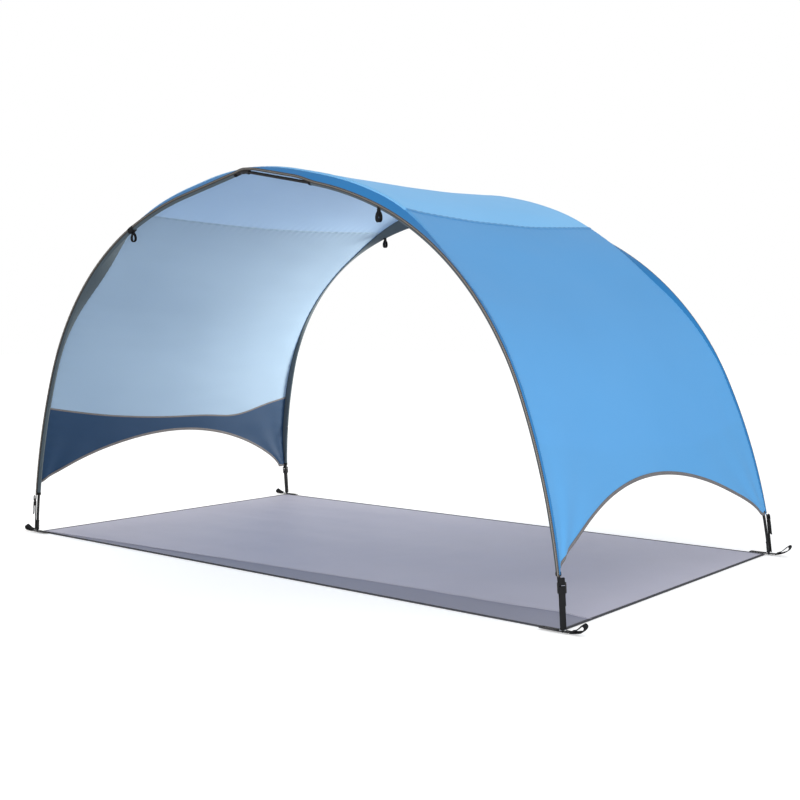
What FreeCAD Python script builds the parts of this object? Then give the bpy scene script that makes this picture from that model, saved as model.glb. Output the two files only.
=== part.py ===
import FreeCAD, Part
import math
import os

# Arched tarp shelter: two sprung hoops hold up a three-panel canopy over a ground mat.
# Millimetres, +Z up.  The origin is on the ground under the middle of the mat.
# X runs along the span of the hoops.  Y runs from the front hoop to the back hoop.

# ---- driving dimensions ---------------------------------------------------------------
MAT_LENGTH = 2100.0
MAT_WIDTH = 1200.0
MAT_THICKNESS = 3.0
HEM_WIDTH = 14.0
HEM_THICKNESS = 3.4

# One half of a hoop, from its foot to the crown: (radius, degrees turned), then a straight bar.
HOOP_START_LEAN = 3.5
HOOP_BENDS = ((1805.0, 17.8), (844.0, 45.0), (1177.0, 12.0))
CROWN_BAR = 260.0
POLE_CROWN_RADIUS = 60.0
CLOTH_CROWN_RADIUS = 400.0
HOOP_Y = MAT_WIDTH / 2 + 6.0
BACK_LEAN = 8.0

POLE_RADIUS = 4.25
POLE_BORE = 2.0
CORD_RADIUS = 1.25
SECTIONS_PER_HALF = 4
FERRULE_RADIUS = 5.3
FERRULE_LENGTH = 50.0
CONNECTOR_RADIUS = 6.6
CONNECTOR_LENGTH = 48.0
FIT = 0.15

PIN_RADIUS = 3.5
PIN_TOP = 5.5
SOCKET_RADIUS = 6.0
SOCKET_FIT = 0.6
POLE_STOP = 4.0
SOCKET_TOP = 38.0
FOOT_Z = PIN_RADIUS

SLEEVE_INNER = 5.7
SLEEVE_OUTER = 6.5
SLEEVE_GAP = 262.0
CLOTH_START = 130.0

# Facing band: a strip from its bound outer edge (u, v) to the crease where the canopy starts.
# u points away from the hoop's middle and v towards the other hoop, both from the pole's axis.
BAND_EDGE = (7.0, -7.5)
CREASE_FLANK = (15.0, 34.0)
CREASE_TOP = (31.0, 25.0)
CREASE_TAPER = 190.0
CREASE_RISE = (750.0, 1450.0)
BINDING = (-1.0, 7.0, -9.2, -7.8)
CLOTH_THICKNESS = 1.5
CANOPY_GAP = 2.5
HOOP_STATIONS = 49

SEAM_X = 500.0
SAG_ROOF = 12.0
SAG_WALL = 32.0
SCALLOP_FOOT = 126.0
SCALLOP_RISE = 190.0
SCALLOP_POWER = 0.8
SCALLOP_HALF = 575.0
SCALLOP_HEM = 9.0
SCALLOP_HEM_PROUD = 0.9
LINING_MIDDLE = 370.0
LINING_RISE = 55.0
LINING_THICKNESS = 1.2
LINING_GAP = 0.3

WEBBING_THICKNESS = 1.4
STRAP_WIDTH = 15.0
STRAP_OFFSET = 10.0
STRAP_TURN_RADIUS = 2.3
STRAP_LOW = 6.0
LOCK_BAR = 3.0
LOCK_PITCH = 9.0
LOCK_MIDDLE = 102.0
STRAP_TAIL = 46.0
ANCHOR_GAP = 9.0
LOCK_RAIL = 3.0
LOCK_DEPTH = 4.0
LOCK_END = 2.5

TAB_WIDTH = 20.0
TAB_LOW = 3.6
TAB_THICKNESS = 1.6
TAB_INSIDE = 60.0
TAB_OUTSIDE = 20.0
EYELET_BORE = 5.0
EYELET_BARREL = 6.0
EYELET_FLANGE = 8.0
EYELET_FLANGE_THICKNESS = 0.5

STAKE_LOOP_LENGTH = 50.0
STAKE_LOOP_RADIUS = 8.0
STAKE_LOOP_GAP = 2.5
HANG_LOOP_LENGTH = 28.0
HANG_LOOP_RADIUS = 6.0
HANG_LOOP_WIDTH = 12.0
HANG_LOOP_AT = {"front": 1210.0, "back": 1340.0}
HANG_LOOP_DROP = 12.8
LABEL_SIZE = (0.5, 10.0, 45.0)
LABEL_HEIGHT = 300.0

V = FreeCAD.Vector
FAR = 2000.0


# ---- the hoop's line ------------------------------------------------------------------
def half_hoop(crown_radius):
    """Bends from a foot to the crown as (radius or None, degrees or millimetres)."""
    crown_turn = 90.0 - HOOP_START_LEAN - sum(turn for _, turn in HOOP_BENDS)
    straight = CROWN_BAR - crown_radius * math.tan(math.radians(crown_turn))
    return [*HOOP_BENDS, (None, straight), (crown_radius, crown_turn)]


def step(x, z, heading, radius, amount):
    """The end of one bend that starts at (x, z), its heading there and its length."""
    if radius is None:
        end = (x + amount * math.sin(heading), z + amount * math.cos(heading))
        return *end, heading, amount
    after = heading + math.radians(amount)
    x += radius * (math.cos(heading) - math.cos(after))
    z += radius * (math.sin(after) - math.sin(heading))
    return x, z, after, radius * math.radians(amount)


def hoop_line(crown_radius):
    """The whole hoop from its left foot to its right one, as (start, x, z, heading, radius, length)."""
    half = half_hoop(crown_radius)
    x, z, heading = 0.0, FOOT_Z, math.radians(HOOP_START_LEAN)
    for radius, amount in half:
        x, z, heading, _ = step(x, z, heading, radius, amount)
    x, z, heading, start = -x, FOOT_Z, math.radians(HOOP_START_LEAN), 0.0
    line = []
    for radius, amount in half + half[::-1]:
        after_x, after_z, after, length = step(x, z, heading, radius, amount)
        line.append((start, x, z, heading, radius, length))
        x, z, heading, start = after_x, after_z, after, start + length
    return line


def point_on(line, s):
    """(x, z, heading) at the distance s along a hoop's line."""
    for start, x, z, heading, radius, length in line:
        if s <= start + length + 1e-6:
            break
    along = s - start
    amount = along if radius is None else math.degrees(along / radius)
    return step(x, z, heading, radius, amount)[:3]


POLE_LINE = hoop_line(POLE_CROWN_RADIUS)
CLOTH_LINE = hoop_line(CLOTH_CROWN_RADIUS)
POLE_LENGTH = POLE_LINE[-1][0] + POLE_LINE[-1][5]
CLOTH_LENGTH = CLOTH_LINE[-1][0] + CLOTH_LINE[-1][5]
FOOT_X = -POLE_LINE[0][1]


def hoop_place(lean, turned):
    """Where a hoop modelled about its own plane stands in the shelter."""
    side = 1.0 if turned else -1.0
    spin = FreeCAD.Rotation(V(0, 0, 1), 180.0 if turned else 0.0)
    tilt = FreeCAD.Rotation(V(1, 0, 0), side * lean)
    return FreeCAD.Placement(V(0, side * HOOP_Y, 0), tilt.multiply(spin), V(0, 0, FOOT_Z))


HOOPS = {"front": hoop_place(0.0, False), "back": hoop_place(BACK_LEAN, True)}


def off_line(line, s, u, v):
    """The point at (u, v) from a hoop's line at s, in the hoop's own frame."""
    x, z, heading = point_on(line, s)
    return V(x - u * math.cos(heading), v, z + u * math.sin(heading))


# ---- sections swept along a hoop ------------------------------------------------------
def disc(radius):
    return Part.Face(Part.Wire(Part.makeCircle(radius)))


def ring(outer, inner):
    return disc(outer).cut(disc(inner))


def plate(u0, u1, v0, v1):
    return Part.Face(Part.makePolygon([V(u0, v0), V(u1, v0), V(u1, v1), V(u0, v1), V(u0, v0)]))


def sweep(section, line, first, last):
    """A section drawn in (u, v), carried along the part of a hoop's line between two distances."""
    pieces = []
    for start, _, _, _, radius, length in line:
        low = max(first, start)
        high = min(last, start + length)
        if high - low < 0.01:
            continue
        x, z, heading = point_on([entry for entry in line if entry[0] == start], low)
        out = V(-math.cos(heading), 0, math.sin(heading))
        ahead = V(math.sin(heading), 0, math.cos(heading))
        frame = FreeCAD.Matrix(out.x, 0, -ahead.x, x, 0, 1, 0, 0, out.z, 0, -ahead.z, z, 0, 0, 0, 1)
        face = section.copy()
        face.Placement = FreeCAD.Placement(frame)
        if radius is None:
            pieces.append(face.extrude(ahead * (high - low)))
        else:
            centre = V(x, 0, z) - out * radius
            pieces.append(face.revolve(centre, V(0, 1, 0), math.degrees((high - low) / radius)))
    whole = pieces[0]
    for piece in pieces[1:]:
        whole = whole.fuse(piece)
    return whole.Solids[0] if len(whole.Solids) == 1 else whole


# ---- thin curved skins ----------------------------------------------------------------
def skin(point, rows, columns):
    """A closed thin solid between point(row, column, 0) and point(row, column, 1)."""
    sides = []
    for depth in (0, 1):
        surface = Part.BSplineSurface()
        surface.interpolate([[point(row, column, depth) for column in columns] for row in rows])
        sides.append(surface)
    faces = [side.toShape() for side in sides]
    edges = []
    for side in sides:
        u0, u1, v0, v1 = side.bounds()
        edges.append([side.uIso(u0), side.uIso(u1), side.vIso(v0), side.vIso(v1)])
    for outer, inner in zip(*edges):
        faces.append(Part.makeRuledSurface(outer.toShape(), inner.toShape()))
    shell = Part.Shell(faces)
    shell.sewShape()
    solid = Part.Solid(shell)
    if solid.Volume < 0:
        solid.reverse()
    return solid


def spread(first, last, count):
    return [first + (last - first) * n / (count - 1) for n in range(count)]


def smooth(value, low, high):
    share = min(max((value - low) / (high - low), 0.0), 1.0)
    return share * share * (3.0 - 2.0 * share)


def crownward(s):
    """0 on a hoop's flanks, 1 over its crown."""
    return smooth(min(s, CLOTH_LENGTH - s), *CREASE_RISE)


def crease(s):
    """(u, v) of the crease, which meets the pole's corner at the canopy's feet."""
    top = crownward(s)
    open_out = smooth(min(s, CLOTH_LENGTH - s), CLOTH_START - 20.0, CLOTH_START + CREASE_TAPER)
    u = CREASE_FLANK[0] + (CREASE_TOP[0] - CREASE_FLANK[0]) * top
    v = CREASE_FLANK[1] + (CREASE_TOP[1] - CREASE_FLANK[1]) * top
    return u, 2.0 + (v - 2.0) * open_out


def band_point(s, across, depth):
    """The facing band in the hoop's own frame; depth 0 is its outer side."""
    u, v = crease(s)
    along = V(u - BAND_EDGE[0], v - BAND_EDGE[1], 0)
    under = V(-along.y, along.x, 0).normalize() * (CLOTH_THICKNESS * depth)
    at = V(*BAND_EDGE, 0) + along * across + under
    return off_line(CLOTH_LINE, s, at.x, at.y)


def canopy_point(s, across, depth):
    """The canopy's surface from the front crease to the back one, sunk by a depth."""
    ends = []
    for hoop, along in (("front", s), ("back", CLOTH_LENGTH - s)):
        u, v = crease(along)
        ends.append(HOOPS[hoop].multVec(off_line(CLOTH_LINE, along, u, v + CANOPY_GAP)))
    heading = point_on(CLOTH_LINE, s)[2]
    inward = V(math.cos(heading), 0, -math.sin(heading))
    sag = SAG_WALL + (SAG_ROOF - SAG_WALL) * crownward(s)
    sunk = 4.0 * across * (1.0 - across) * sag + depth
    return ends[0] * (1.0 - across) + ends[1] * across + inward * sunk


def canopy_skin(outer, inner):
    depths = (outer, inner)
    edge = CLOTH_START - 40.0
    return skin(
        lambda across, s, side: canopy_point(s, across, depths[side]),
        spread(0.0, 1.0, 7),
        spread(edge, CLOTH_LENGTH - edge, HOOP_STATIONS),
    )


def scallop(y):
    """Height of the canopy's lower edge on an end wall."""
    share = min(abs(y) / SCALLOP_HALF, 1.0)
    return SCALLOP_FOOT + SCALLOP_RISE * math.cos(share * math.pi / 2) ** SCALLOP_POWER


def lining_top(y):
    return LINING_MIDDLE + LINING_RISE * (y / SCALLOP_HALF) ** 2


def below(edge, lift=0.0):
    """Everything under a curve z = edge(y) + lift, right through both end walls."""
    reach = SCALLOP_HALF + 60.0
    curve = Part.BSplineCurve()
    curve.interpolate([V(-FAR, y, edge(y) + lift) for y in spread(-reach, reach, 25)])
    ends = [curve.StartPoint, curve.EndPoint]
    floor = [V(-FAR, end.y, -FAR) for end in ends]
    wire = Part.Wire([
        curve.toShape(),
        Part.makeLine(ends[1], floor[1]),
        Part.makeLine(floor[1], floor[0]),
        Part.makeLine(floor[0], ends[0]),
    ])
    return Part.Face(wire).extrude(V(2 * FAR, 0, 0))


def slab(x0, x1):
    return Part.makeBox(x1 - x0, 2 * FAR, 2 * FAR, V(x0, -FAR, -FAR))


# ---- webbing --------------------------------------------------------------------------
def hairpin(turn, end, tail, up):
    """Webbing in a (normal, width, along) frame that turns back over a bar at the height turn."""
    inner = STRAP_TURN_RADIUS
    outer = inner + WEBBING_THICKNESS
    low, high = -STRAP_WIDTH / 2, STRAP_WIDTH
    bend = Part.makeCylinder(outer, high, V(0, low, 0), V(0, 1, 0))
    bend = bend.cut(Part.makeCylinder(inner, high, V(0, low, 0), V(0, 1, 0)))
    side = 0.0 if up else -outer
    bend = bend.common(Part.makeBox(2 * outer, high, outer, V(-outer, low, side)))
    bend.translate(V(0, 0, turn))
    legs = []
    for n, stop in ((-outer, end), (inner, tail)):
        base, top = min(stop, turn), max(stop, turn)
        legs.append(Part.makeBox(WEBBING_THICKNESS, high, top - base, V(n, low, base)))
    return bend.fuse(legs[0]).fuse(legs[1]).removeSplitter()


def ladder_lock():
    """A frame of two rails and three bars, the middle one at the height 0."""
    inside = STRAP_WIDTH / 2 + 0.5
    high = 2 * LOCK_PITCH + LOCK_BAR + 2 * LOCK_END
    rails = []
    for w in (inside, -inside - LOCK_RAIL):
        rails.append(Part.makeBox(LOCK_DEPTH, LOCK_RAIL, high, V(-LOCK_DEPTH / 2, w, -high / 2)))
    lock = rails[0].fuse(rails[1])
    for t in (-LOCK_PITCH, 0.0, LOCK_PITCH):
        corner = V(-LOCK_BAR / 2, -inside, t - LOCK_BAR / 2)
        lock = lock.fuse(Part.makeBox(LOCK_BAR, 2 * inside, LOCK_BAR, corner))
    return lock.removeSplitter()


def teardrop(length, radius, width):
    """A webbing loop in the XZ plane that hangs from the origin, its width along Y."""
    def outline(half_neck, neck_z, bulb):
        low = radius - length
        lines = [
            Part.makeLine(V(half_neck, 0, neck_z), V(bulb, 0, low)),
            Part.Arc(V(bulb, 0, low), V(0, 0, low - bulb), V(-bulb, 0, low)).toShape(),
            Part.makeLine(V(-bulb, 0, low), V(-half_neck, 0, neck_z)),
            Part.makeLine(V(-half_neck, 0, neck_z), V(half_neck, 0, neck_z)),
        ]
        return Part.Face(Part.Wire(lines)).extrude(V(0, width, 0))

    loop = outline(WEBBING_THICKNESS, 0.0, radius)
    hole = outline(0.4, -3.0 * WEBBING_THICKNESS, radius - WEBBING_THICKNESS)
    loop = loop.cut(hole)
    loop.translate(V(0, -width / 2, 0))
    return loop


def strap_frame(side):
    """The (normal, width, along) frame at a hoop's foot; side is -1 at the left and 1 at the right."""
    lean = math.radians(HOOP_START_LEAN)
    along = V(-side * math.sin(lean), 0, math.cos(lean))
    wide = along.cross(V(side, -1, 0)).normalize()
    out = wide.cross(along).normalize()
    foot = V(side * FOOT_X, 0, FOOT_Z) + out * STRAP_OFFSET
    return FreeCAD.Placement(FreeCAD.Matrix(
        out.x, wide.x, along.x, foot.x,
        out.y, wide.y, along.y, foot.y,
        out.z, wide.z, along.z, foot.z,
        0, 0, 0, 1,
    ))


# ---- the pieces -----------------------------------------------------------------------
NODES = {}


def add(name, shape, place=None):
    piece = shape.copy()
    if place is not None:
        piece.Placement = place.multiply(piece.Placement)
    NODES[name] = piece


def ground():
    inner_x, inner_y = MAT_LENGTH / 2 - HEM_WIDTH, MAT_WIDTH / 2 - HEM_WIDTH
    add("ground_mat", Part.makeBox(2 * inner_x, 2 * inner_y, MAT_THICKNESS, V(-inner_x, -inner_y, 0)))
    bars = []
    for side in (-1, 1):
        x = -MAT_LENGTH / 2 if side < 0 else inner_x
        y = -MAT_WIDTH / 2 if side < 0 else inner_y
        bars.append(Part.makeBox(HEM_WIDTH, MAT_WIDTH, HEM_THICKNESS, V(x, -MAT_WIDTH / 2, 0)))
        bars.append(Part.makeBox(2 * inner_x, HEM_WIDTH, HEM_THICKNESS, V(-inner_x, y, 0)))
    add("mat_hem", Part.makeCompound(bars))


def corner(name, side, end):
    """The tab sewn to a mat corner, its eyelet and its stake loop; side and end are -1 or 1."""
    foot = V(side * FOOT_X, end * HOOP_Y, 0)
    reach = [foot.x - side * TAB_INSIDE, foot.x + side * TAB_OUTSIDE]
    tab = Part.makeBox(
        abs(reach[1] - reach[0]), TAB_WIDTH, TAB_THICKNESS, V(min(reach), foot.y - TAB_WIDTH / 2, TAB_LOW)
    )
    tab = tab.cut(Part.makeCylinder(EYELET_BARREL + 0.2, 2 * TAB_THICKNESS, V(foot.x, foot.y, TAB_LOW - 0.5)))
    add(f"{name}_corner_tab", tab)

    low = TAB_LOW - 0.1 - EYELET_FLANGE_THICKNESS
    high = TAB_LOW + TAB_THICKNESS + 0.1
    eyelet = Part.makeCylinder(EYELET_BARREL, high - low + EYELET_FLANGE_THICKNESS)
    for z in (0.0, high - low):
        flange = Part.makeCylinder(EYELET_FLANGE, EYELET_FLANGE_THICKNESS, V(0, 0, z))
        eyelet = eyelet.fuse(flange)
    eyelet = eyelet.cut(Part.makeCylinder(EYELET_BORE, FOOT_X, V(0, 0, -1)))
    eyelet.translate(V(foot.x, foot.y, low))

    loop = teardrop(STAKE_LOOP_LENGTH, STAKE_LOOP_RADIUS, STRAP_WIDTH)
    reach = STAKE_LOOP_LENGTH - STAKE_LOOP_RADIUS
    rise = math.degrees(math.asin((STAKE_LOOP_RADIUS + 0.3 - stake_pivot_z()) / reach))
    loop.rotate(V(0, 0, 0), V(0, 1, 0), -side * (90.0 + rise))
    loop.translate(stake_pivot(side, end))
    add(f"{name}_stake_loop", loop)
    return eyelet.removeSplitter()


def stake_pivot_z():
    return TAB_LOW + TAB_THICKNESS / 2


def stake_pivot(side, end):
    return V(side * (FOOT_X + TAB_OUTSIDE + STAKE_LOOP_GAP), end * HOOP_Y, stake_pivot_z())


def canopy():
    cloth = canopy_skin(0.0, CLOTH_THICKNESS)
    hem_cloth = canopy_skin(-SCALLOP_HEM_PROUD, CLOTH_THICKNESS + SCALLOP_HEM_PROUD)
    start = CLOTH_THICKNESS + LINING_GAP
    lining_cloth = canopy_skin(start, start + LINING_THICKNESS)
    under_hem = below(scallop)
    over_hem = below(scallop, SCALLOP_HEM)
    hem_zone = over_hem.cut(under_hem)
    lining_zone = below(lining_top).cut(below(scallop, SCALLOP_HEM + SCALLOP_HEM_PROUD))
    add("roof_panel", cloth.common(slab(-SEAM_X, SEAM_X)))
    for name, zone in (("left", slab(-FAR, -SEAM_X)), ("right", slab(SEAM_X, FAR))):
        add(f"{name}_wall_panel", cloth.common(zone).cut(over_hem))
        add(f"{name}_wall_hem", hem_cloth.common(zone).common(hem_zone))
        add(f"{name}_wall_lining", lining_cloth.common(zone).common(lining_zone))


def hoop_cloth(hoop, place):
    middle = POLE_LENGTH / 2
    band = skin(
        lambda across, s, depth: band_point(s, across, depth),
        spread(0.0, 1.0, 3),
        spread(CLOTH_START, CLOTH_LENGTH - CLOTH_START, HOOP_STATIONS),
    )
    notch = sweep(disc(CONNECTOR_RADIUS + 2.0), POLE_LINE, middle - 90.0, middle + 90.0)
    add(f"{hoop}_facing_band", band.cut(notch), place)
    binding = sweep(plate(*BINDING), POLE_LINE, CLOTH_START, POLE_LENGTH - CLOTH_START)
    add(f"{hoop}_edge_binding", binding, place)
    tube = ring(SLEEVE_OUTER, SLEEVE_INNER)
    long_sleeve = sweep(tube, POLE_LINE, CLOTH_START, middle - CONNECTOR_LENGTH / 2 - 4.0)
    short_sleeve = sweep(tube, POLE_LINE, middle + SLEEVE_GAP, POLE_LENGTH - CLOTH_START)
    add(f"{hoop}_long_sleeve", long_sleeve, place)
    add(f"{hoop}_short_sleeve", short_sleeve, place)


def hoop_pole(hoop, place):
    middle = POLE_LENGTH / 2
    section = middle / SECTIONS_PER_HALF
    tube = ring(POLE_RADIUS, POLE_BORE)
    foot = PIN_TOP + POLE_STOP
    joints = [foot, *[section * n for n in range(1, 2 * SECTIONS_PER_HALF)], POLE_LENGTH - foot]
    lengths = [sweep(tube, POLE_LINE, *ends) for ends in zip(joints, joints[1:])]
    add(f"{hoop}_long_sleeve_pole", Part.makeCompound(lengths[:SECTIONS_PER_HALF]), place)
    add(f"{hoop}_short_sleeve_pole", Part.makeCompound(lengths[SECTIONS_PER_HALF:]), place)
    collar = ring(FERRULE_RADIUS, POLE_RADIUS + FIT)
    half = FERRULE_LENGTH / 2
    spots = [s for s in joints[1:-1] if abs(s - middle) > section / 2]
    ferrules = [sweep(collar, POLE_LINE, s - half, s + half) for s in spots]
    add(f"{hoop}_pole_ferrules", Part.makeCompound(ferrules), place)
    half = CONNECTOR_LENGTH / 2
    connector = sweep(ring(CONNECTOR_RADIUS, POLE_RADIUS + FIT), POLE_LINE, middle - half, middle + half)
    add(f"{hoop}_crown_connector", connector, place)
    cord = sweep(disc(CORD_RADIUS), POLE_LINE, foot + 2.0, POLE_LENGTH - foot - 2.0)
    add(f"{hoop}_shock_cord", cord, place)


def pole_tip():
    """The moulded foot of a pole: a round-ended pin below a socket."""
    tip = Part.makeSphere(PIN_RADIUS)
    tip = tip.fuse(Part.makeCylinder(PIN_RADIUS, PIN_TOP))
    tip = tip.fuse(Part.makeCylinder(SOCKET_RADIUS, SOCKET_TOP - PIN_TOP, V(0, 0, PIN_TOP)))
    bore = Part.makeCylinder(POLE_RADIUS + SOCKET_FIT, SOCKET_TOP, V(0, 0, PIN_TOP + POLE_STOP - FIT))
    return tip.cut(bore).removeSplitter()


def hoop_foot(hoop, place, side, name):
    lean = FreeCAD.Rotation(V(0, 1, 0), -side * HOOP_START_LEAN)
    at = FreeCAD.Placement(V(side * FOOT_X, 0, FOOT_Z), lean)
    add(f"{name}_pole_tip", pole_tip(), place.multiply(at))
    frame = place.multiply(strap_frame(side))
    strap = hairpin(LOCK_MIDDLE, STRAP_LOW, LOCK_MIDDLE - STRAP_TAIL, True)
    anchor_turn = LOCK_MIDDLE + LOCK_PITCH
    anchor_top = CLOTH_START - ANCHOR_GAP
    anchor = hairpin(anchor_turn, anchor_top, anchor_top, False)
    add(f"{name}_strap", strap, frame)
    add(f"{name}_strap_anchor", anchor, frame)
    lock = ladder_lock()
    lock.translate(V(0, 0, LOCK_MIDDLE))
    add(f"{name}_ladder_lock", lock, frame)


def hang_pivot(hoop, side):
    x, z, _ = point_on(POLE_LINE, HANG_LOOP_AT[hoop])
    at = HOOPS[hoop].multVec(V(x, 0, z))
    return V(side * abs(at.x), at.y, at.z - HANG_LOOP_DROP)


def hang_loop(hoop, name, side):
    loop = teardrop(HANG_LOOP_LENGTH, HANG_LOOP_RADIUS, HANG_LOOP_WIDTH)
    loop.rotate(V(0, 0, 0), V(0, 0, 1), 90.0)
    loop.translate(hang_pivot(hoop, side))
    add(f"{name}_hang_loop", loop)


def care_label():
    """A blank label sewn to the inner side of the back hoop's sleeve at the left."""
    thick, wide, high = LABEL_SIZE
    x, _, _ = point_on(POLE_LINE, LABEL_HEIGHT)
    label = Part.makeBox(thick, wide, high, V(-x - SLEEVE_OUTER - 1.0 - thick, -wide / 2, LABEL_HEIGHT - high))
    add("care_label", label, HOOPS["back"])


def build():
    ground()
    canopy()
    eyelets = []
    for hoop, end in (("front", -1), ("back", 1)):
        place = HOOPS[hoop]
        hoop_cloth(hoop, place)
        hoop_pole(hoop, place)
        for word, side in (("left", -1), ("right", 1)):
            name = f"{hoop}_{word}"
            eyelets.append(corner(name, side, end))
            hoop_foot(hoop, place, side * -end, name)
            hang_loop(hoop, name, side)
    add("mat_eyelets", Part.makeCompound(eyelets))
    care_label()


build()
os.makedirs("parts", exist_ok=True)
for node, shape in NODES.items():
    box = shape.BoundBox
    print(
        f"{node:26s} solids {len(shape.Solids)}  valid {shape.isValid()}  {shape.Volume / 1000:9.2f} cm3"
        f"  x {box.XMin:8.1f} {box.XMax:8.1f}  y {box.YMin:7.1f} {box.YMax:7.1f}  z {box.ZMin:7.1f} {box.ZMax:7.1f}"
    )
    shape.exportStep(f"parts/{node}.step")
print("nodes", len(NODES), "pole", round(POLE_LENGTH, 1), "foot x", round(FOOT_X, 2))
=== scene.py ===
"""Looks of the arched tarp shelter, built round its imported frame.  Metres, +Z up."""

import math

import bmesh
import bpy
import numpy as np
from mathutils import Matrix, Vector, noise


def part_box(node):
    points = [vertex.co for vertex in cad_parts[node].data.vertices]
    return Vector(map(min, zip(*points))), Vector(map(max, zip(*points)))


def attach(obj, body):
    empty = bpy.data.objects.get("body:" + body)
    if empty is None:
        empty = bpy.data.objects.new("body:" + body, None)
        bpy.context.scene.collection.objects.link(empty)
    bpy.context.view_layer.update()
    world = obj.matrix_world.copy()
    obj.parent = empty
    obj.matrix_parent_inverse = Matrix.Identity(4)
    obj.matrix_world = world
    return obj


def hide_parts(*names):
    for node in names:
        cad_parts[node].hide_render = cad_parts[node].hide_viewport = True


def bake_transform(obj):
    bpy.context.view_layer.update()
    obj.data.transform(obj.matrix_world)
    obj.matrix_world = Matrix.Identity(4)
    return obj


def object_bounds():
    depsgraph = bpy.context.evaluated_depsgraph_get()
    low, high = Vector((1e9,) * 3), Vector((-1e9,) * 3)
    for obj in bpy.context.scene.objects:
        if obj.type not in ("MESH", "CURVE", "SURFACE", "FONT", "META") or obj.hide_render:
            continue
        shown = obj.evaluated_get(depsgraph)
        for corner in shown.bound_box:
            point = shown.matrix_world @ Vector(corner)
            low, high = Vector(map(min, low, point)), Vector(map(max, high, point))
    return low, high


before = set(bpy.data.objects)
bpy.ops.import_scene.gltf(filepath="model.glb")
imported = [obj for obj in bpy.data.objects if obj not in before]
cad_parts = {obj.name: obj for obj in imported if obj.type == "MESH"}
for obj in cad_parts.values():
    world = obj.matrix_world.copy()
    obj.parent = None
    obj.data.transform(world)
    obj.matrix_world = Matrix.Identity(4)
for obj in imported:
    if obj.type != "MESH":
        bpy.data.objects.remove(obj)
cad_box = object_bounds()

# ---- the hoops' lines, as in the frame ------------------------------------------------
HOOP_START_LEAN = math.radians(3.5)
HOOP_BENDS = ((1.805, 17.8), (0.844, 45.0), (1.177, 12.0))
CROWN_BAR = 0.260
POLE_CROWN_RADIUS = 0.060
CLOTH_CROWN_RADIUS = 0.900
HOOP_Y = 0.606
FOOT_Z = 0.0035
BACK_LEAN = math.radians(8.0)
POLE_RADIUS = 0.00425

MAT_LENGTH = 2.100
MAT_WIDTH = 1.200
SCALLOP_FOOT = 0.126
SCALLOP_HALF = 0.600
# Rise, roundness and middle of each end wall's scallop.
SCALLOP_LEFT = (0.195, 0.72, -0.050)
SCALLOP_RIGHT = (0.176, 0.80, -0.030)
LINING_MIDDLE = 0.374
LINING_RISE = 0.052
LINING_DIP = 0.020
ROOF_SEAM_LEFT = (1.250, 0.090)
ROOF_SEAM_RIGHT = (1.150, 0.065)
CLOTH_START = 0.130
SLEEVE_GAP = 0.262
# How far the crease stands out from the pole and behind it, by distance from a foot: the cloth hugs
# the pole at the bottom, twists inwards below the tie and stands up over the crown.
CREASE_AT = (0.100, 0.130, 0.220, 0.500, 0.680, 0.800, 0.900, 0.980, 1.050, 1.110, 1.190, 1.300, 1.450)
CREASE_U = (0.004, 0.004, 0.004, 0.004, 0.003, -0.002, -0.010, -0.008, 0.003, 0.015, 0.027, 0.031, 0.031)
CREASE_V = (0.002, 0.004, 0.0095, 0.0105, 0.0115, 0.020, 0.029, 0.036, 0.039, 0.036, 0.030, 0.025, 0.025)
# The back crease's own (distance, stand-off) pairs: it stands higher over the crown, most of all right of it.
BACK_LEFT_CREASE = (
    (0.130, 0.004), (0.250, 0.012), (0.500, 0.014), (0.680, 0.004), (0.800, -0.006), (0.900, -0.014),
    (1.030, -0.020), (1.150, -0.012), (1.200, -0.007), (1.270, 0.006), (1.400, 0.027), (1.550, 0.042),
    (1.700, 0.055),
)
BACK_RIGHT_CREASE = (
    (0.130, 0.004), (0.500, 0.004), (0.800, -0.002), (0.950, -0.004), (1.050, 0.010), (1.100, 0.017),
    (1.200, 0.029), (1.300, 0.044), (1.400, 0.052), (1.500, 0.059), (1.600, 0.059), (1.700, 0.055),
)
SAG_RISE = (0.750, 1.450)
SAG_WALL = 0.032
SAG_ROOF = 0.012
CLOTH = 0.0008

CORNERS = [(hoop, word) for hoop in ("front", "back") for word in ("left", "right")]


def half_hoop(crown_radius):
    """Bends from a foot to the crown as (radius or None, degrees or metres)."""
    crown_turn = 90.0 - math.degrees(HOOP_START_LEAN) - sum(turn for _, turn in HOOP_BENDS)
    straight = CROWN_BAR - crown_radius * math.tan(math.radians(crown_turn))
    return [*HOOP_BENDS, (None, straight), (crown_radius, crown_turn)]


def step(x, z, heading, radius, amount):
    """The end of one bend that starts at (x, z), its heading there and its length."""
    if radius is None:
        return x + amount * math.sin(heading), z + amount * math.cos(heading), heading, amount
    after = heading + math.radians(amount)
    x += radius * (math.cos(heading) - math.cos(after))
    z += radius * (math.sin(after) - math.sin(heading))
    return x, z, after, radius * math.radians(amount)


def hoop_line(crown_radius):
    """The whole hoop from its left foot to its right one, as (start, x, z, heading, radius, length)."""
    half = half_hoop(crown_radius)
    x, z, heading = 0.0, FOOT_Z, HOOP_START_LEAN
    for radius, amount in half:
        x, z, heading, _ = step(x, z, heading, radius, amount)
    x, z, heading, start = -x, FOOT_Z, HOOP_START_LEAN, 0.0
    line = []
    for radius, amount in half + half[::-1]:
        after_x, after_z, after, length = step(x, z, heading, radius, amount)
        line.append((start, x, z, heading, radius, length))
        x, z, heading, start = after_x, after_z, after, start + length
    return line


def point_on(line, s):
    """(x, z, heading) at the distance s along a hoop's line."""
    for start, x, z, heading, radius, length in line:
        if s <= start + length + 1e-9:
            break
    along = s - start
    amount = along if radius is None else math.degrees(along / radius)
    return step(x, z, heading, radius, amount)[:3]


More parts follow.
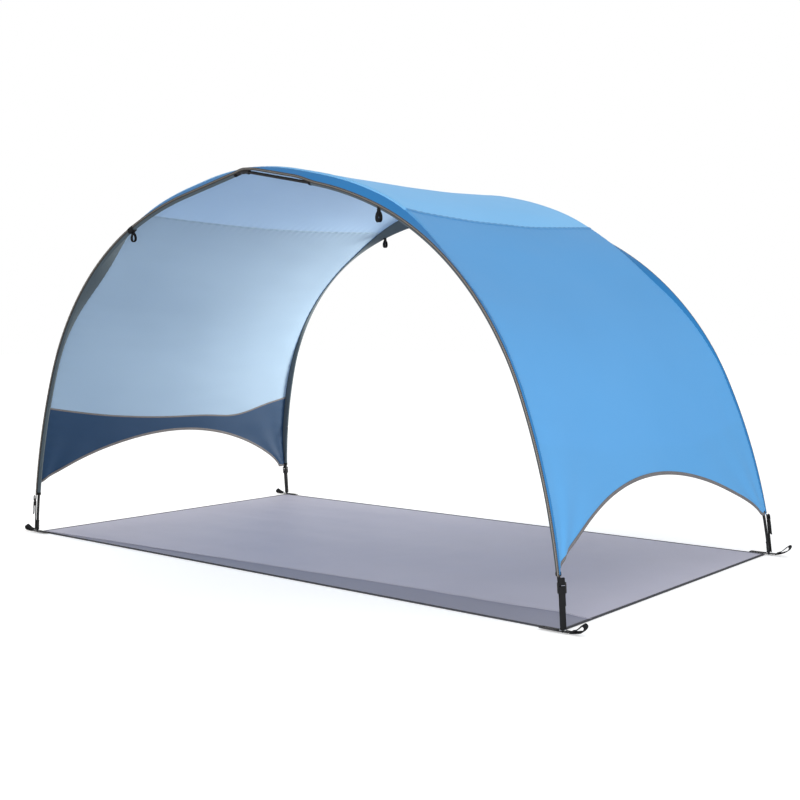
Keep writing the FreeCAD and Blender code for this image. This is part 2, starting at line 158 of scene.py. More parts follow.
POLE_LINE = hoop_line(POLE_CROWN_RADIUS)
CLOTH_LINE = hoop_line(CLOTH_CROWN_RADIUS)
POLE_LENGTH = POLE_LINE[-1][0] + POLE_LINE[-1][5]
CLOTH_LENGTH = CLOTH_LINE[-1][0] + CLOTH_LINE[-1][5]
FOOT_X = -POLE_LINE[0][1]
CROWN = POLE_LENGTH / 2


def hoop_place(lean, turned):
    """Where a hoop modelled about its own plane stands in the shelter."""
    side = 1.0 if turned else -1.0
    pivot = Matrix.Translation((0, 0, FOOT_Z))
    spin = Matrix.Rotation(math.pi if turned else 0.0, 4, "Z")
    tilt = Matrix.Rotation(side * lean, 4, "X")
    return Matrix.Translation((0, side * HOOP_Y, 0)) @ pivot @ tilt @ spin @ pivot.inverted()


HOOPS = {"front": hoop_place(0.0, False), "back": hoop_place(BACK_LEAN, True)}


def smooth(value, low, high):
    share = min(max((value - low) / (high - low), 0.0), 1.0)
    return share * share * (3.0 - 2.0 * share)


def bump_between(value, low, high, edge):
    """1 between two values and 0 outside them, with soft edges."""
    return smooth(value, low - edge, low + edge) * (1.0 - smooth(value, high - edge, high + edge))


def along_cloth(s):
    """The cloth's distance that goes with a distance along the pole."""
    return s * CLOTH_LENGTH / POLE_LENGTH


def on_line(line, s, u, v):
    """The point at (u, v) from a line, in the hoop's own frame."""
    x, z, heading = point_on(line, s)
    return Vector((x - u * math.cos(heading), v, z + u * math.sin(heading)))


def crease_size(s, hoop):
    """(u, v) of the crease at a distance along the cloth."""
    around = min(s, CLOTH_LENGTH - s) + np.linspace(-0.050, 0.050, 11)
    at, out = CREASE_AT, CREASE_U
    if hoop == "back":
        at, out = zip(*(BACK_RIGHT_CREASE if s < CLOTH_LENGTH / 2 else BACK_LEFT_CREASE))
    return float(np.interp(around, at, out).mean()), float(np.interp(around, CREASE_AT, CREASE_V).mean())


def crease(s, hoop):
    """The crease beside a distance along the pole, in the hoop's own frame."""
    at = along_cloth(s)
    return on_line(CLOTH_LINE, at, *crease_size(at, hoop))


BAND_FRONT = -0.0075
BAND_LOW = 0.0068


def band_edge_height(s):
    """How far the band's bound edge stands off the pole: more where the pole crosses the sleeve gap."""
    return BAND_LOW + 0.0078 * bump_between(s, CROWN + 0.015, CROWN + SLEEVE_GAP - 0.010, 0.045)


def band_edge(s):
    return on_line(POLE_LINE, s, band_edge_height(s), BAND_FRONT)


# ---- materials ------------------------------------------------------------------------
def node(tree, kind, values=None, **settings):
    made = tree.nodes.new(kind)
    for name, value in settings.items():
        setattr(made, name, value)
    for name, value in (values or {}).items():
        made.inputs[name].default_value = value
    return made


def math_node(tree, operation, first, second=None):
    made = node(tree, "ShaderNodeMath", operation=operation)
    for socket, value in zip(made.inputs, (first, second)):
        if value is None:
            continue
        if isinstance(value, (int, float)):
            socket.default_value = value
        else:
            tree.links.new(value, socket)
    return made.outputs[0]


def colour_patches(tree, light, dark, scale):
    """A colour that drifts softly between two tones over the piece."""
    place = node(tree, "ShaderNodeTexCoord")
    patches = node(tree, "ShaderNodeTexNoise", {"Scale": scale, "Detail": 3.0, "Roughness": 0.55})
    tree.links.new(place.outputs["Object"], patches.inputs["Vector"])
    mix = node(tree, "ShaderNodeMix", data_type="RGBA")
    mix.inputs[6].default_value = (*light, 1)
    mix.inputs[7].default_value = (*dark, 1)
    tree.links.new(patches.outputs["Fac"], mix.inputs[0])
    return mix.outputs[2], patches.outputs["Fac"]


def weave_height(tree, across, along):
    """Height of a plain weave of threads across and along metres apart, from the piece's sheet map."""
    sheet = node(tree, "ShaderNodeUVMap", uv_map="Weave")
    parts = node(tree, "ShaderNodeSeparateXYZ")
    tree.links.new(sheet.outputs["UV"], parts.inputs["Vector"])
    waves = []
    for output, pitch in ((parts.outputs["X"], across), (parts.outputs["Y"], along)):
        turned = math_node(tree, "MULTIPLY", output, math.pi / pitch)
        waves.append(math_node(tree, "ABSOLUTE", math_node(tree, "SINE", turned)))
    return math_node(tree, "MULTIPLY", waves[0], waves[1])


def material(name, light, dark, rough=0.6, patch_scale=6.0, weave=None, weave_depth=0.0001, bump_depth=0.0,
             bump_scale=60.0, specular=0.4, metallic=0.0, through=0.0, through_colour=None):
    """A surface that drifts between two tones, with a grain, a weave and light let through where asked."""
    made = bpy.data.materials.new(name)
    made.use_nodes = True
    tree = made.node_tree
    shader = tree.nodes["Principled BSDF"]
    shader.inputs["Metallic"].default_value = metallic
    shader.inputs["Specular IOR Level"].default_value = specular
    colour, patches = colour_patches(tree, light, dark, patch_scale)
    tree.links.new(colour, shader.inputs["Base Color"])
    uneven = node(tree, "ShaderNodeMapRange", {"To Min": rough - 0.06, "To Max": rough + 0.06})
    tree.links.new(patches, uneven.inputs["Value"])
    tree.links.new(uneven.outputs["Result"], shader.inputs["Roughness"])
    normal = None
    if bump_depth:
        place = node(tree, "ShaderNodeTexCoord")
        grain = node(tree, "ShaderNodeTexNoise", {"Scale": bump_scale, "Detail": 4.0})
        tree.links.new(place.outputs["Object"], grain.inputs["Vector"])
        first = node(tree, "ShaderNodeBump", {"Strength": 1.0, "Distance": bump_depth})
        tree.links.new(grain.outputs["Fac"], first.inputs["Height"])
        normal = first.outputs["Normal"]
    if weave:
        threads = node(tree, "ShaderNodeBump", {"Strength": 0.6, "Distance": weave_depth})
        tree.links.new(weave_height(tree, *weave), threads.inputs["Height"])
        if normal:
            tree.links.new(normal, threads.inputs["Normal"])
        normal = threads.outputs["Normal"]
    if normal:
        tree.links.new(normal, shader.inputs["Normal"])
    if through:
        glow = node(tree, "ShaderNodeBsdfTranslucent")
        glow.inputs["Color"].default_value = (*through_colour, 1)
        mix = node(tree, "ShaderNodeMixShader")
        mix.inputs[0].default_value = through
        tree.links.new(shader.outputs[0], mix.inputs[1])
        tree.links.new(glow.outputs[0], mix.inputs[2])
        tree.links.new(mix.outputs[0], tree.nodes["Material Output"].inputs["Surface"])
    return made


FINE_WEAVE = (0.0009, 0.0009)
WEBBING_WEAVE = (0.0012, 0.0024)
TAPE_WEAVE = (0.0010, 0.0014)

# The roof is the wall's cloth made lighter: painted light for the brightness of its upward-facing surface
# under light from above.
LIT_ROOF = material("roof cloth with painted light", (0.222, 0.560, 0.915), (0.202, 0.532, 0.885), 0.50, 2.5, FINE_WEAVE,
                0.00004, 0.0004, 14.0, specular=0.15, through=0.22, through_colour=(0.36, 0.62, 0.88))
WALL = material("wall cloth", (0.102, 0.342, 0.668), (0.090, 0.320, 0.636), 0.50, 2.5, FINE_WEAVE,
                0.00004, 0.0004, 14.0, specular=0.12, through=0.16, through_colour=(0.20, 0.46, 0.78))
INSIDE = material("coated inside", (0.288, 0.400, 0.518), (0.268, 0.378, 0.492), 0.55, 2.0, FINE_WEAVE,
                  0.00003, 0.0004, 12.0, specular=0.25, through=0.20, through_colour=(0.42, 0.62, 0.88))
# The roof's inside is the coated inside made lighter: painted light for the light coming through the roof from
# above.
LIT_ROOF_INSIDE = material("coated roof inside with painted light", (0.370, 0.510, 0.675), (0.346, 0.485, 0.645), 0.55, 2.0,
                       FINE_WEAVE, 0.00003, 0.0004, 12.0, specular=0.25, through=0.30,
                       through_colour=(0.60, 0.72, 0.86))
# The band is a darker blue cloth, made darker still by painted shade for its face turned forward and down,
# away from the light.
BAND = material("band cloth and painted shade", (0.022, 0.165, 0.400), (0.016, 0.140, 0.355), 0.55, 5.0, FINE_WEAVE, 0.00004,
                0.0003, 20.0, specular=0.10)
LINING = material("lining cloth", (0.0155, 0.0440, 0.1000), (0.0120, 0.0370, 0.0860), 0.60, 5.0, FINE_WEAVE,
                  0.00004, 0.0003, 20.0, specular=0.15)
SLEEVE = material("sleeve cloth", (0.075, 0.100, 0.118), (0.055, 0.074, 0.090), 0.66, 9.0, FINE_WEAVE, 0.00006,
                  0.0003, 40.0, specular=0.15)
TAPE = material("binding tape", (0.060, 0.055, 0.052), (0.042, 0.038, 0.037), 0.75, 30.0, TAPE_WEAVE, 0.00015,
                0.0001, 300.0, specular=0.15)
HEM = material("hem tape", (0.150, 0.145, 0.150), (0.105, 0.100, 0.105), 0.75, 30.0, TAPE_WEAVE, 0.00015,
               0.0001, 300.0, specular=0.15)
PIPING = material("piping", (0.200, 0.190, 0.172), (0.150, 0.142, 0.130), 0.70, 60.0, TAPE_WEAVE, 0.00010,
                  0.0001, 300.0, specular=0.2)
MAT = material("mat cloth", (0.400, 0.398, 0.492), (0.358, 0.357, 0.450), 0.50, 2.2, (0.0016, 0.0016), 0.00010,
               0.0010, 9.0, specular=0.28)
# The front strip is the mat's cloth made darker: painted shade for the strip sloping forward, away from the
# light.
SHADED_MAT_STRIP = material("mat front strip with painted shade", (0.240, 0.246, 0.316), (0.212, 0.218, 0.284), 0.58, 2.2,
                     (0.0016, 0.0016), 0.00010, 0.0010, 9.0, specular=0.22)
MAT_TAPE = material("mat binding", (0.052, 0.054, 0.064), (0.038, 0.040, 0.048), 0.75, 40.0, TAPE_WEAVE,
                    0.00015, specular=0.15)
WEBBING = material("webbing", (0.0075, 0.0078, 0.0090), (0.0050, 0.0052, 0.0062), 0.70, 60.0, WEBBING_WEAVE,
                   0.00035, 0.0001, 400.0, specular=0.12)
THREAD = material("thread", (0.10, 0.22, 0.38), (0.07, 0.17, 0.30), 0.60, 200.0, specular=0.2)
PALE_THREAD = material("pale thread", (0.34, 0.33, 0.33), (0.27, 0.26, 0.27), 0.60, 200.0, specular=0.2)
POLE = material("pole fibreglass", (0.0055, 0.0058, 0.0068), (0.0040, 0.0042, 0.0050), 0.50, 30.0,
                bump_depth=0.00005, bump_scale=500.0, specular=0.25)
STEEL = material("ferrule steel", (0.56, 0.57, 0.58), (0.44, 0.45, 0.47), 0.28, 80.0,
                 bump_depth=0.00003, bump_scale=900.0, metallic=1.0)
BRASS = material("eyelet metal", (0.50, 0.51, 0.53), (0.36, 0.37, 0.39), 0.32, 120.0,
                 bump_depth=0.00004, bump_scale=700.0, metallic=1.0)
PLASTIC = material("moulded plastic", (0.0095, 0.010, 0.0115), (0.0065, 0.0068, 0.0080), 0.45, 60.0,
                   bump_depth=0.00006, bump_scale=900.0, specular=0.25)
ELASTIC = material("elastic cord", (0.55, 0.55, 0.56), (0.08, 0.08, 0.09), 0.75, 700.0,
                   bump_depth=0.0002, bump_scale=900.0)
LABEL = material("label cloth", (0.80, 0.80, 0.79), (0.72, 0.72, 0.71), 0.65, 60.0, FINE_WEAVE, 0.00005)


# ---- mesh building --------------------------------------------------------------------
def lay_weave(mesh, sheet_map):
    """Stores each point's (u, v) in metres for the weave."""
    layer = mesh.uv_layers.new(name="Weave")
    corners = np.zeros(len(mesh.loops), int)
    mesh.loops.foreach_get("vertex_index", corners)
    layer.data.foreach_set("uv", np.asarray(sheet_map, float)[corners].ravel())


def build(name, points, faces, materials, face_materials=None, sheet_map=None, sharp=None):
    """A mesh object; sheet_map holds each point's (u, v) in metres for the weave."""
    mesh = bpy.data.meshes.new(name)
    mesh.from_pydata([tuple(p) for p in points], [], faces)
    for made in materials:
        mesh.materials.append(made)
    if face_materials is not None:
        mesh.polygons.foreach_set("material_index", face_materials)
    if sheet_map is not None:
        lay_weave(mesh, sheet_map)
    work = bmesh.new()
    work.from_mesh(mesh)
    bmesh.ops.recalc_face_normals(work, faces=work.faces)
    work.to_mesh(mesh)
    work.free()
    mesh.polygons.foreach_set("use_smooth", [True] * len(mesh.polygons))
    if sharp:
        mesh.set_sharp_from_angle(angle=math.radians(sharp))
    made = bpy.data.objects.new(name, mesh)
    bpy.context.scene.collection.objects.link(made)
    return made


def distances(points):
    """How far along a line each of its points is."""
    steps = np.linalg.norm(np.diff(points, axis=0), axis=1)
    return np.concatenate([[0], np.cumsum(steps)])


def sample(points, along, where):
    """The points of a line or table at given distances."""
    return np.stack([np.interp(where, along, points[:, k]) for k in range(points.shape[1])], -1)


def circle(radius, count, deep=None):
    """(u, v) round a circle, or round an ellipse that is deep along v."""
    turns = np.linspace(0, math.tau, count, endpoint=False)
    return [(radius * math.cos(a), (deep or radius) * math.sin(a)) for a in turns]


def grid_faces(rows, columns, start=0, around=False):
    faces = []
    for i in range(rows - 1):
        low, high = start + i * columns, start + (i + 1) * columns
        for j in range(columns if around else columns - 1):
            k = (j + 1) % columns
            faces.append((low + j, low + k, high + k, high + j))
    return faces


def loop_faces(rows, columns, start=0):
    """Faces of a ring-shaped solid, whose last ring meets its first."""
    last = start + (rows - 1) * columns
    beside = [(j, (j + 1) % columns) for j in range(columns)]
    joint = [(last + j, last + k, start + k, start + j) for j, k in beside]
    return grid_faces(rows, columns, start, around=True) + joint


def tube(rings, first=0):
    """Points and faces of a closed tube through rings of points, with a face at each end."""
    rings = np.asarray(rings, float)
    rows, columns = rings.shape[:2]
    faces = grid_faces(rows, columns, first, around=True)
    faces.append(tuple(range(first + columns - 1, first - 1, -1)))
    last = first + (rows - 1) * columns
    faces.append(tuple(range(last, last + columns)))
    return rings.reshape(-1, 3), faces


def ring_map(rings):
    """(u, v) of each point of a tube: how far round its ring, and how far along."""
    rings = np.asarray(rings, float)
    around, along = distances(rings[len(rings) // 2]), distances(rings.mean(1))
    return np.stack(np.meshgrid(around, along), -1).reshape(-1, 2)


def tube_piece(name, rings, made, sharp=50):
    points, faces = tube(rings)
    return build(name, points, faces, [made], sheet_map=ring_map(rings), sharp=sharp)


def shell_piece(name, outer, inner, materials, sheet_map):
    """A thin closed sheet between two grids of points; materials are its outer and inner sides'."""
    outer, inner = np.asarray(outer, float), np.asarray(inner, float)
    rows, columns = outer.shape[:2]
    count = rows * columns
    faces = grid_faces(rows, columns)
    sides = [0] * len(faces)
    faces += [tuple(reversed(face)) for face in grid_faces(rows, columns, count)]
    sides += [1] * (len(faces) - len(sides))
    border = [i * columns for i in range(rows)]
    border += [(rows - 1) * columns + j for j in range(1, columns)]
    border += [i * columns + columns - 1 for i in range(rows - 2, -1, -1)]
    border += list(range(columns - 2, 0, -1))
    for a, b in zip(border, border[1:] + border[:1]):
        faces.append((a, b, b + count, a + count))
        sides.append(0)
    points = np.concatenate([outer.reshape(-1, 3), inner.reshape(-1, 3)])
    flat = np.asarray(sheet_map, float).reshape(-1, 2)
    return build(name, points, faces, materials, sides, np.concatenate([flat, flat]), sharp=60)


STITCH = 0.0034
STITCH_PITCH = 0.0052
THREAD_WIDE = 0.00035


def stitches(points, outs):
    """Points and faces of a row of stitches along a line; outs are the directions off the cloth."""
    points, outs = np.asarray(points, float), np.asarray(outs, float)
    along = distances(points)
    made, faces = [], []
    for n in range(int(along[-1] / STITCH_PITCH)):
        start, end = (sample(points, along, n * STITCH_PITCH + at) for at in (0.0, STITCH))
        out = sample(outs, along, n * STITCH_PITCH)
        wide = np.cross(end - start, out)
        wide /= max(np.linalg.norm(wide), 1e-12)
        middle = (start + end) / 2
        first = len(made)
        made += [start, end]
        made += [middle + wide * THREAD_WIDE, middle + out * THREAD_WIDE * 1.6]
        made += [middle - wide * THREAD_WIDE, middle - out * THREAD_WIDE * 0.8]
        for a, b in ((2, 3), (3, 4), (4, 5), (5, 2)):
            faces.append((first, first + a, first + b))
            faces.append((first + 1, first + b, first + a))
    return made, faces


def stitch_piece(name, rows, made):
    """One mesh of several rows of stitches, each (points, outs)."""
    points, faces = [], []
    for line, outs in rows:
        more, more_faces = stitches(line, outs)
        faces += [tuple(k + len(points) for k in face) for face in more_faces]
        points += more
    return build(name, points, faces, [made])


# ---- what goes along a hoop -----------------------------------------------------------
def spread(first, last, spacing):
    return np.linspace(first, last, max(2, int(round((last - first) / spacing)) + 1))


def hoop_ring(hoop, s, section):
    """A ring of points at (u, v) round a hoop's pole."""
    return [HOOPS[hoop] @ on_line(POLE_LINE, s, u, v) for u, v in section]


def ride(piece, body, slot, *nodes):
    """The piece rides a body and may replace nodes; the slot is not used."""
    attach(piece, body)
    if nodes:
        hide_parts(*nodes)


def ride_hoop(piece, hoop, slot, *nodes):
    ride(piece, f"{hoop}_hoop", slot, *nodes)


BAND_COLUMNS = 13
BAND_OVER_POLE = 0.0056


def band_surface(hoop, s):
    """Outer points of the facing band at a station, and the direction off it."""
    low, high = band_edge(s), crease(s, hoop)
    across = high - low
    x, z, heading = point_on(POLE_LINE, s)
    centre = Vector((x, 0, z))
    ahead = Vector((math.sin(heading), 0, math.cos(heading)))
    off = ahead.cross(across).normalized()
    if off.z < 0 and abs(s - CROWN) < 1.0 or off.dot(low - Vector((0, 0, 0.3))) < 0:
        off = -off
    belly = 0.0012 * (1.0 + 0.6 * noise.noise(Vector((s * 9.0, 3.0, 0.0))))
    pucker = 0.00035 * math.sin(s * math.tau / 0.026 + 2.0 * noise.noise(Vector((s * 11.0, 0.0, 7.0))))
    points = []
    for j in range(BAND_COLUMNS):
        share = j / (BAND_COLUMNS - 1)
        lift = belly * math.sin(math.pi * share) + pucker * share * share
        point = low + across * share + off * lift
        aside = point - centre
        aside -= ahead * aside.dot(ahead)
        points.append(point + aside.normalized() * max(0.0, BAND_OVER_POLE - aside.length))
    turn = HOOPS[hoop].to_3x3()
    return [HOOPS[hoop] @ p for p in points], turn @ off


def facing_band(hoop):
    stations = spread(CLOTH_START, POLE_LENGTH - CLOTH_START, 0.008)
    outer, inner = [], []
    for s in stations:
        points, off = band_surface(hoop, s)
        outer.append(points)
        inner.append([p - off * CLOTH for p in points])
    flat = np.stack(np.meshgrid(np.linspace(0, 0.034, BAND_COLUMNS), stations), -1)
    band = shell_piece(f"{hoop}_facing_band_cloth", outer, inner, [BAND, SLEEVE], flat)
    ride_hoop(band, hoop, "band_cloth", f"{hoop}_facing_band")


BINDING_WIDE = 0.0078
BINDING_THICK = 0.0019
PIPING_RADIUS = 0.0009
PIPING_DEEP = 0.0008


def edge_binding(hoop):
    """Folded tape along the band's outer edge, with a thin piping and a row of stitches on it."""
    rings, cord, line = [], [], []
    for s in spread(CLOTH_START - 0.003, POLE_LENGTH - CLOTH_START + 0.003, 0.008):
        top = band_edge_height(s) + 0.0006
        low = top - BINDING_WIDE
        front = BAND_FRONT - 0.0012 + 0.00025 * math.sin(s * math.tau / 0.021)
        back = front + BINDING_THICK
        section = [(top, front + 0.0003), (top - 0.0012, front), (low + 0.0009, front),
                   (low, (front + back) / 2),
                   (low + 0.0009, back), (top - 0.0012, back), (top, back - 0.0003)]
        rings.append(hoop_ring(hoop, s, section))
        round_cord = [(low + 0.0040 + u, front + 0.0001 + v) for u, v in circle(PIPING_RADIUS, 8, PIPING_DEEP)]
        cord.append(hoop_ring(hoop, s, round_cord))
        line.append(HOOPS[hoop] @ on_line(POLE_LINE, s, low + 0.0064, front - 0.0001))
    tape = tube_piece(f"{hoop}_edge_binding_tape", rings, TAPE, sharp=60)
    ride_hoop(tape, hoop, "binding_tape", f"{hoop}_edge_binding")
    ride_hoop(tube_piece(f"{hoop}_edge_piping", cord, PIPING, sharp=60), hoop, "binding_tape")
    outs = [HOOPS[hoop].to_3x3() @ Vector((0, -1, 0))] * len(line)
    ride_hoop(stitch_piece(f"{hoop}_binding_stitches", [(line, outs)], PALE_THREAD), hoop, "binding_tape")


SLEEVE_RADIUS = 0.0060
SLEEVE_CLOTH = 0.0006


def tangent_angle(point, radius, side):
    """The angle at which a line from a point (u, v) touches a circle round the pole."""
    distance = math.hypot(*point)
    return math.atan2(point[1], point[0]) + side * math.acos(min(radius / distance, 1.0))


def sleeve_ring(hoop, s, radius):
    """The sleeve's cloth from the band's edge round the pole's inner side and up to the crease."""
    start = (band_edge_height(s) - 0.0012, BAND_FRONT + 0.0012 + 0.0003)
    x, z, heading = point_on(POLE_LINE, s)
    end = crease(s, hoop)
    reach = (-(end.x - x) * math.cos(heading) + (end.z - z) * math.sin(heading), end.y)
    stop = (reach[0] - 0.0022, reach[1] - 0.0012)
    first = tangent_angle(start, radius, -1)
    last = tangent_angle(stop, radius, 1)
    while last > first:
        last -= math.tau
    turns = [first + (last - first) * n / 10 for n in range(11)]
    section = [start] + [(radius * math.cos(a), radius * math.sin(a)) for a in turns]
    ring = [on_line(POLE_LINE, s, u, v) for u, v in section]
    inner_side = ring[-1]
    tip = on_line(POLE_LINE, s, *stop) + end - on_line(POLE_LINE, s, *reach)
    for n in range(1, 8):
        share = n / 7
        slack = 0.0010 * math.sin(math.pi * share) * (1.0 + 0.5 * noise.noise(Vector((s * 14.0, 5.0, share))))
        drift = 1.5 * noise.noise(Vector((s * 8.0, 1.0, 2.0)))
        pucker = 0.0004 * share * math.sin(s * math.tau / 0.024 + drift)
        low = Vector((math.cos(heading), 0, -math.sin(heading))) * (slack + pucker)
        ring.append(inner_side.lerp(tip, share) + low)
    return [HOOPS[hoop] @ p for p in ring]


def pole_sleeve(hoop, word, first, last):
    stations = spread(first, last, 0.008)
    outer, inner = ([sleeve_ring(hoop, s, radius) for s in stations]
                    for radius in (SLEEVE_RADIUS, SLEEVE_RADIUS - SLEEVE_CLOTH))
    flat = np.stack(np.meshgrid(np.linspace(0, 0.048, len(outer[0])), stations), -1)
    sleeve = shell_piece(f"{hoop}_{word}_sleeve_cloth", outer, inner, [SLEEVE, SLEEVE], flat)
    ride_hoop(sleeve, hoop, "sleeve_cloth", f"{hoop}_{word}_sleeve")
    ends = (first + 0.004, last - 0.004) if word == "long" else (last - 0.004, first + 0.004)
    mouth(hoop, word, "low", ends[0])
    mouth(hoop, word, "high", ends[1])


# Tape round a sleeve's mouth: how far along the pole and how far off the sleeve each ring lies.
MOUTH_SHAPE = (
    (-0.0050, -0.0002), (-0.0044, 0.0006), (-0.0015, 0.0009), (0.0015, 0.0009), (0.0044, 0.0006),
    (0.0050, -0.0002), (0.0048, -0.0010), (0.0, -0.0010), (-0.0048, -0.0010),
)


def mouth(hoop, word, end, middle):
    """Folded tape round a sleeve's mouth."""
    rings = [hoop_ring(hoop, middle + shift, circle(SLEEVE_RADIUS + out, 28)) for shift, out in MOUTH_SHAPE]
    ride_hoop(loop_piece(f"{hoop}_{word}_sleeve_{end}_mouth", rings, WEBBING), hoop, "webbing")


def loop_piece(name, rings, made, sharp=50):
    """A ring-shaped solid: rings of points that come back to the first one."""
    rings = np.asarray(rings, float)
    rows, columns = rings.shape[:2]
    chart = ring_map(np.concatenate([rings, rings[:1]]))[:rows * columns]
    return build(name, rings.reshape(-1, 3), loop_faces(rows, columns), [made], sheet_map=chart, sharp=sharp)


# Distance from the crown connector's middle, and radius there.
CONNECTOR_HALF = (
    (0.0065, 0.0066), (0.0085, 0.0058), (0.0115, 0.0057), (0.0125, 0.0063), (0.0140, 0.0063), (0.0150, 0.0057),
    (0.0180, 0.0057), (0.0190, 0.0066), (0.0225, 0.0066), (0.0245, 0.0060), (0.0250, 0.0050),
)


def crown_connector(hoop):
    """The moulded sleeve that joins the pole's two middle sections, with ribs and a thick middle."""
    shape = [(-shift, radius) for shift, radius in CONNECTOR_HALF[::-1]] + [(0.0, 0.0069), *CONNECTOR_HALF]
    shape += [(shift, POLE_RADIUS + 0.00012) for shift in (0.0250, 0.0125, 0.0, -0.0125, -0.0250)]
    rings = [hoop_ring(hoop, CROWN + shift, circle(radius, 32)) for shift, radius in shape]
    joint = loop_piece(f"{hoop}_crown_joint", rings, PLASTIC, 45)
    ride_hoop(joint, hoop, "connector_plastic", f"{hoop}_crown_connector")


# ---- the canopy -----------------------------------------------------------------------
STATIONS = np.linspace(0.0, POLE_LENGTH, 1731)
CANOPY_DEEP = 1.05


def canopy_tables():
    """The front and back creases and the inward direction at each station from the left foot."""
    front, back, inward = [], [], []
    for s in STATIONS:
        front.append(HOOPS["front"] @ crease(s, "front"))
        back.append(HOOPS["back"] @ crease(POLE_LENGTH - s, "back"))
        heading = point_on(CLOTH_LINE, along_cloth(s))[2]
        inward.append((math.cos(heading), 0.0, -math.sin(heading)))
    sag = [SAG_WALL + (SAG_ROOF - SAG_WALL) * smooth(min(s, POLE_LENGTH - s), *SAG_RISE) for s in STATIONS]
    return np.array(front), np.array(back), np.array(inward), np.array(sag)[:, None]


FRONT_CREASE, BACK_CREASE, INWARD, SAG = canopy_tables()
MIDDLE_SHARE = -FRONT_CREASE[:, 1] / (BACK_CREASE[:, 1] - FRONT_CREASE[:, 1])


def look_up(table, s):
    return sample(table, STATIONS, s)


def canopy_at(s, share):
    """Points of the canopy's outer side, share 0 at the front crease and 1 at the back one."""
    share = np.asarray(share)[..., None]
    sunk = 4.0 * share * (1.0 - share) * look_up(SAG, s)
    straight = look_up(FRONT_CREASE, s) * (1.0 - share) + look_up(BACK_CREASE, s) * share
    return straight + look_up(INWARD, s) * sunk


def noise_at(points, scale, seed):
    flat = points.reshape(-1, 3)
    values = [noise.noise(Vector((p[0] * scale + seed, p[1] * scale, p[2] * scale))) for p in flat]
    return np.array(values).reshape(points.shape[:-1])


def wrinkles(points, s, share):
    """How far the cloth sinks below its smooth shape: broad waves, puckers at seams and folds at corners."""
    edge = np.minimum(share, 1.0 - share) * CANOPY_DEEP
    free = np.clip(edge / 0.06, 0.0, 1.0)
    broad = 0.0028 * noise_at(points, 3.1, 11.0) * free
    drawn = 0.0011 * noise_at(points * np.array([1.0, 0.35, 1.0]), 17.0, 4.0) * np.clip(edge / 0.03, 0.0, 1.0)
    pucker = 0.0009 * np.exp(-edge / 0.022) * np.clip(edge / 0.008, 0.0, 1.0)
    pucker = pucker * np.sin(s * math.tau / 0.034 + 2.5 * noise_at(points, 6.0, 2.0))
    from_left = np.abs(s - ROOF_SEAM_LEFT[0] - ROOF_SEAM_LEFT[1] * share)
    from_right = np.abs(POLE_LENGTH - ROOF_SEAM_RIGHT[0] - ROOF_SEAM_RIGHT[1] * share - s)
    gathers = np.sin(points[..., 1] * math.tau / 0.031 + 2.0 * noise_at(points, 5.0, 9.0))
    sewn = 0.0007 * np.exp(-np.minimum(from_left, from_right) / 0.018) * gathers
    folds = np.zeros(s.shape)
    for line in (share, 1.0 - share):
        for foot in (CLOTH_START, POLE_LENGTH - CLOTH_START):
            away = np.abs(s - foot)
            across = line * CANOPY_DEEP
            angle = np.arctan2(across, away + 0.02)
            reach = np.hypot(away, across)
            folds += 0.0030 * np.exp(-reach / 0.16) * np.sin(angle * 13.0) * np.clip(across / 0.02, 0.0, 1.0)
    return broad + drawn + pucker + sewn * free + folds


def scallop(y, rise, power, middle):
    share = np.minimum(np.abs(y - middle) / SCALLOP_HALF, 1.0)
    return SCALLOP_FOOT + rise * np.cos(share * math.pi / 2) ** power


def lining_top(y):
    return LINING_MIDDLE + LINING_RISE * (y / 0.575) ** 2 - LINING_DIP * np.exp(-((y - 0.25) / 0.13) ** 2)


SHARES = np.linspace(0.0, 1.0, 601)


def canopy_edge(rule):
    """For each share, the distance from the left foot at which rule(points) rises through zero."""
    s = np.linspace(0.060, POLE_LENGTH / 2, 900)
    found = []
    for share in SHARES:
        points = canopy_at(s, np.full(s.shape, share))
        found.append(np.interp(0.0, np.maximum.accumulate(rule(points)), s))
    return np.array(found)


SCALLOP_EDGE = {-1: canopy_edge(lambda p: p[:, 2] - scallop(p[:, 1], *SCALLOP_LEFT)),
                1: canopy_edge(lambda p: p[:, 2] - scallop(p[:, 1], *SCALLOP_RIGHT))}
LINING_EDGE = canopy_edge(lambda p: p[:, 2] - lining_top(p[:, 1]))
SEAM_EDGE = {side: foot + run * SHARES for side, (foot, run) in ((-1, ROOF_SEAM_LEFT), (1, ROOF_SEAM_RIGHT))}


def edge_at(edge, share, side):
    """Distance from the left foot of one of the canopy's edges, on the left (-1) or right (1) wall."""
    s = np.interp(share, SHARES, edge)
    return s if side < 0 else POLE_LENGTH - s


def half_grid(first, last, half, rows, columns):
    """Distances and shares of a grid between two edges, over the front or the back half of the canopy."""
    part = np.linspace(0.0, 1.0, columns)[None, :].repeat(rows, 0)
    down = np.linspace(0.0, 1.0, rows)[:, None]
    share = 0.5 * part if half == "front" else 1.0 - 0.5 * part
    for _ in range(5):
        s = first(share) * (1.0 - down) + last(share) * down
        middle = np.interp(s, STATIONS, MIDDLE_SHARE)
        share = middle * part if half == "front" else 1.0 - (1.0 - middle) * part
    return s, share


SEAM_ALLOWANCE = 0.0010


def cloth_grid(s, share, depth):
    """Points of the canopy at a depth under its outer side, with its wrinkles."""
    base = canopy_at(s, share)
    sunk = wrinkles(base, s, share) + depth - SEAM_ALLOWANCE
    return base + look_up(INWARD, s) * sunk[..., None]


def sheet_map_of(s, share):
    return np.stack([s, share * CANOPY_DEEP], -1)


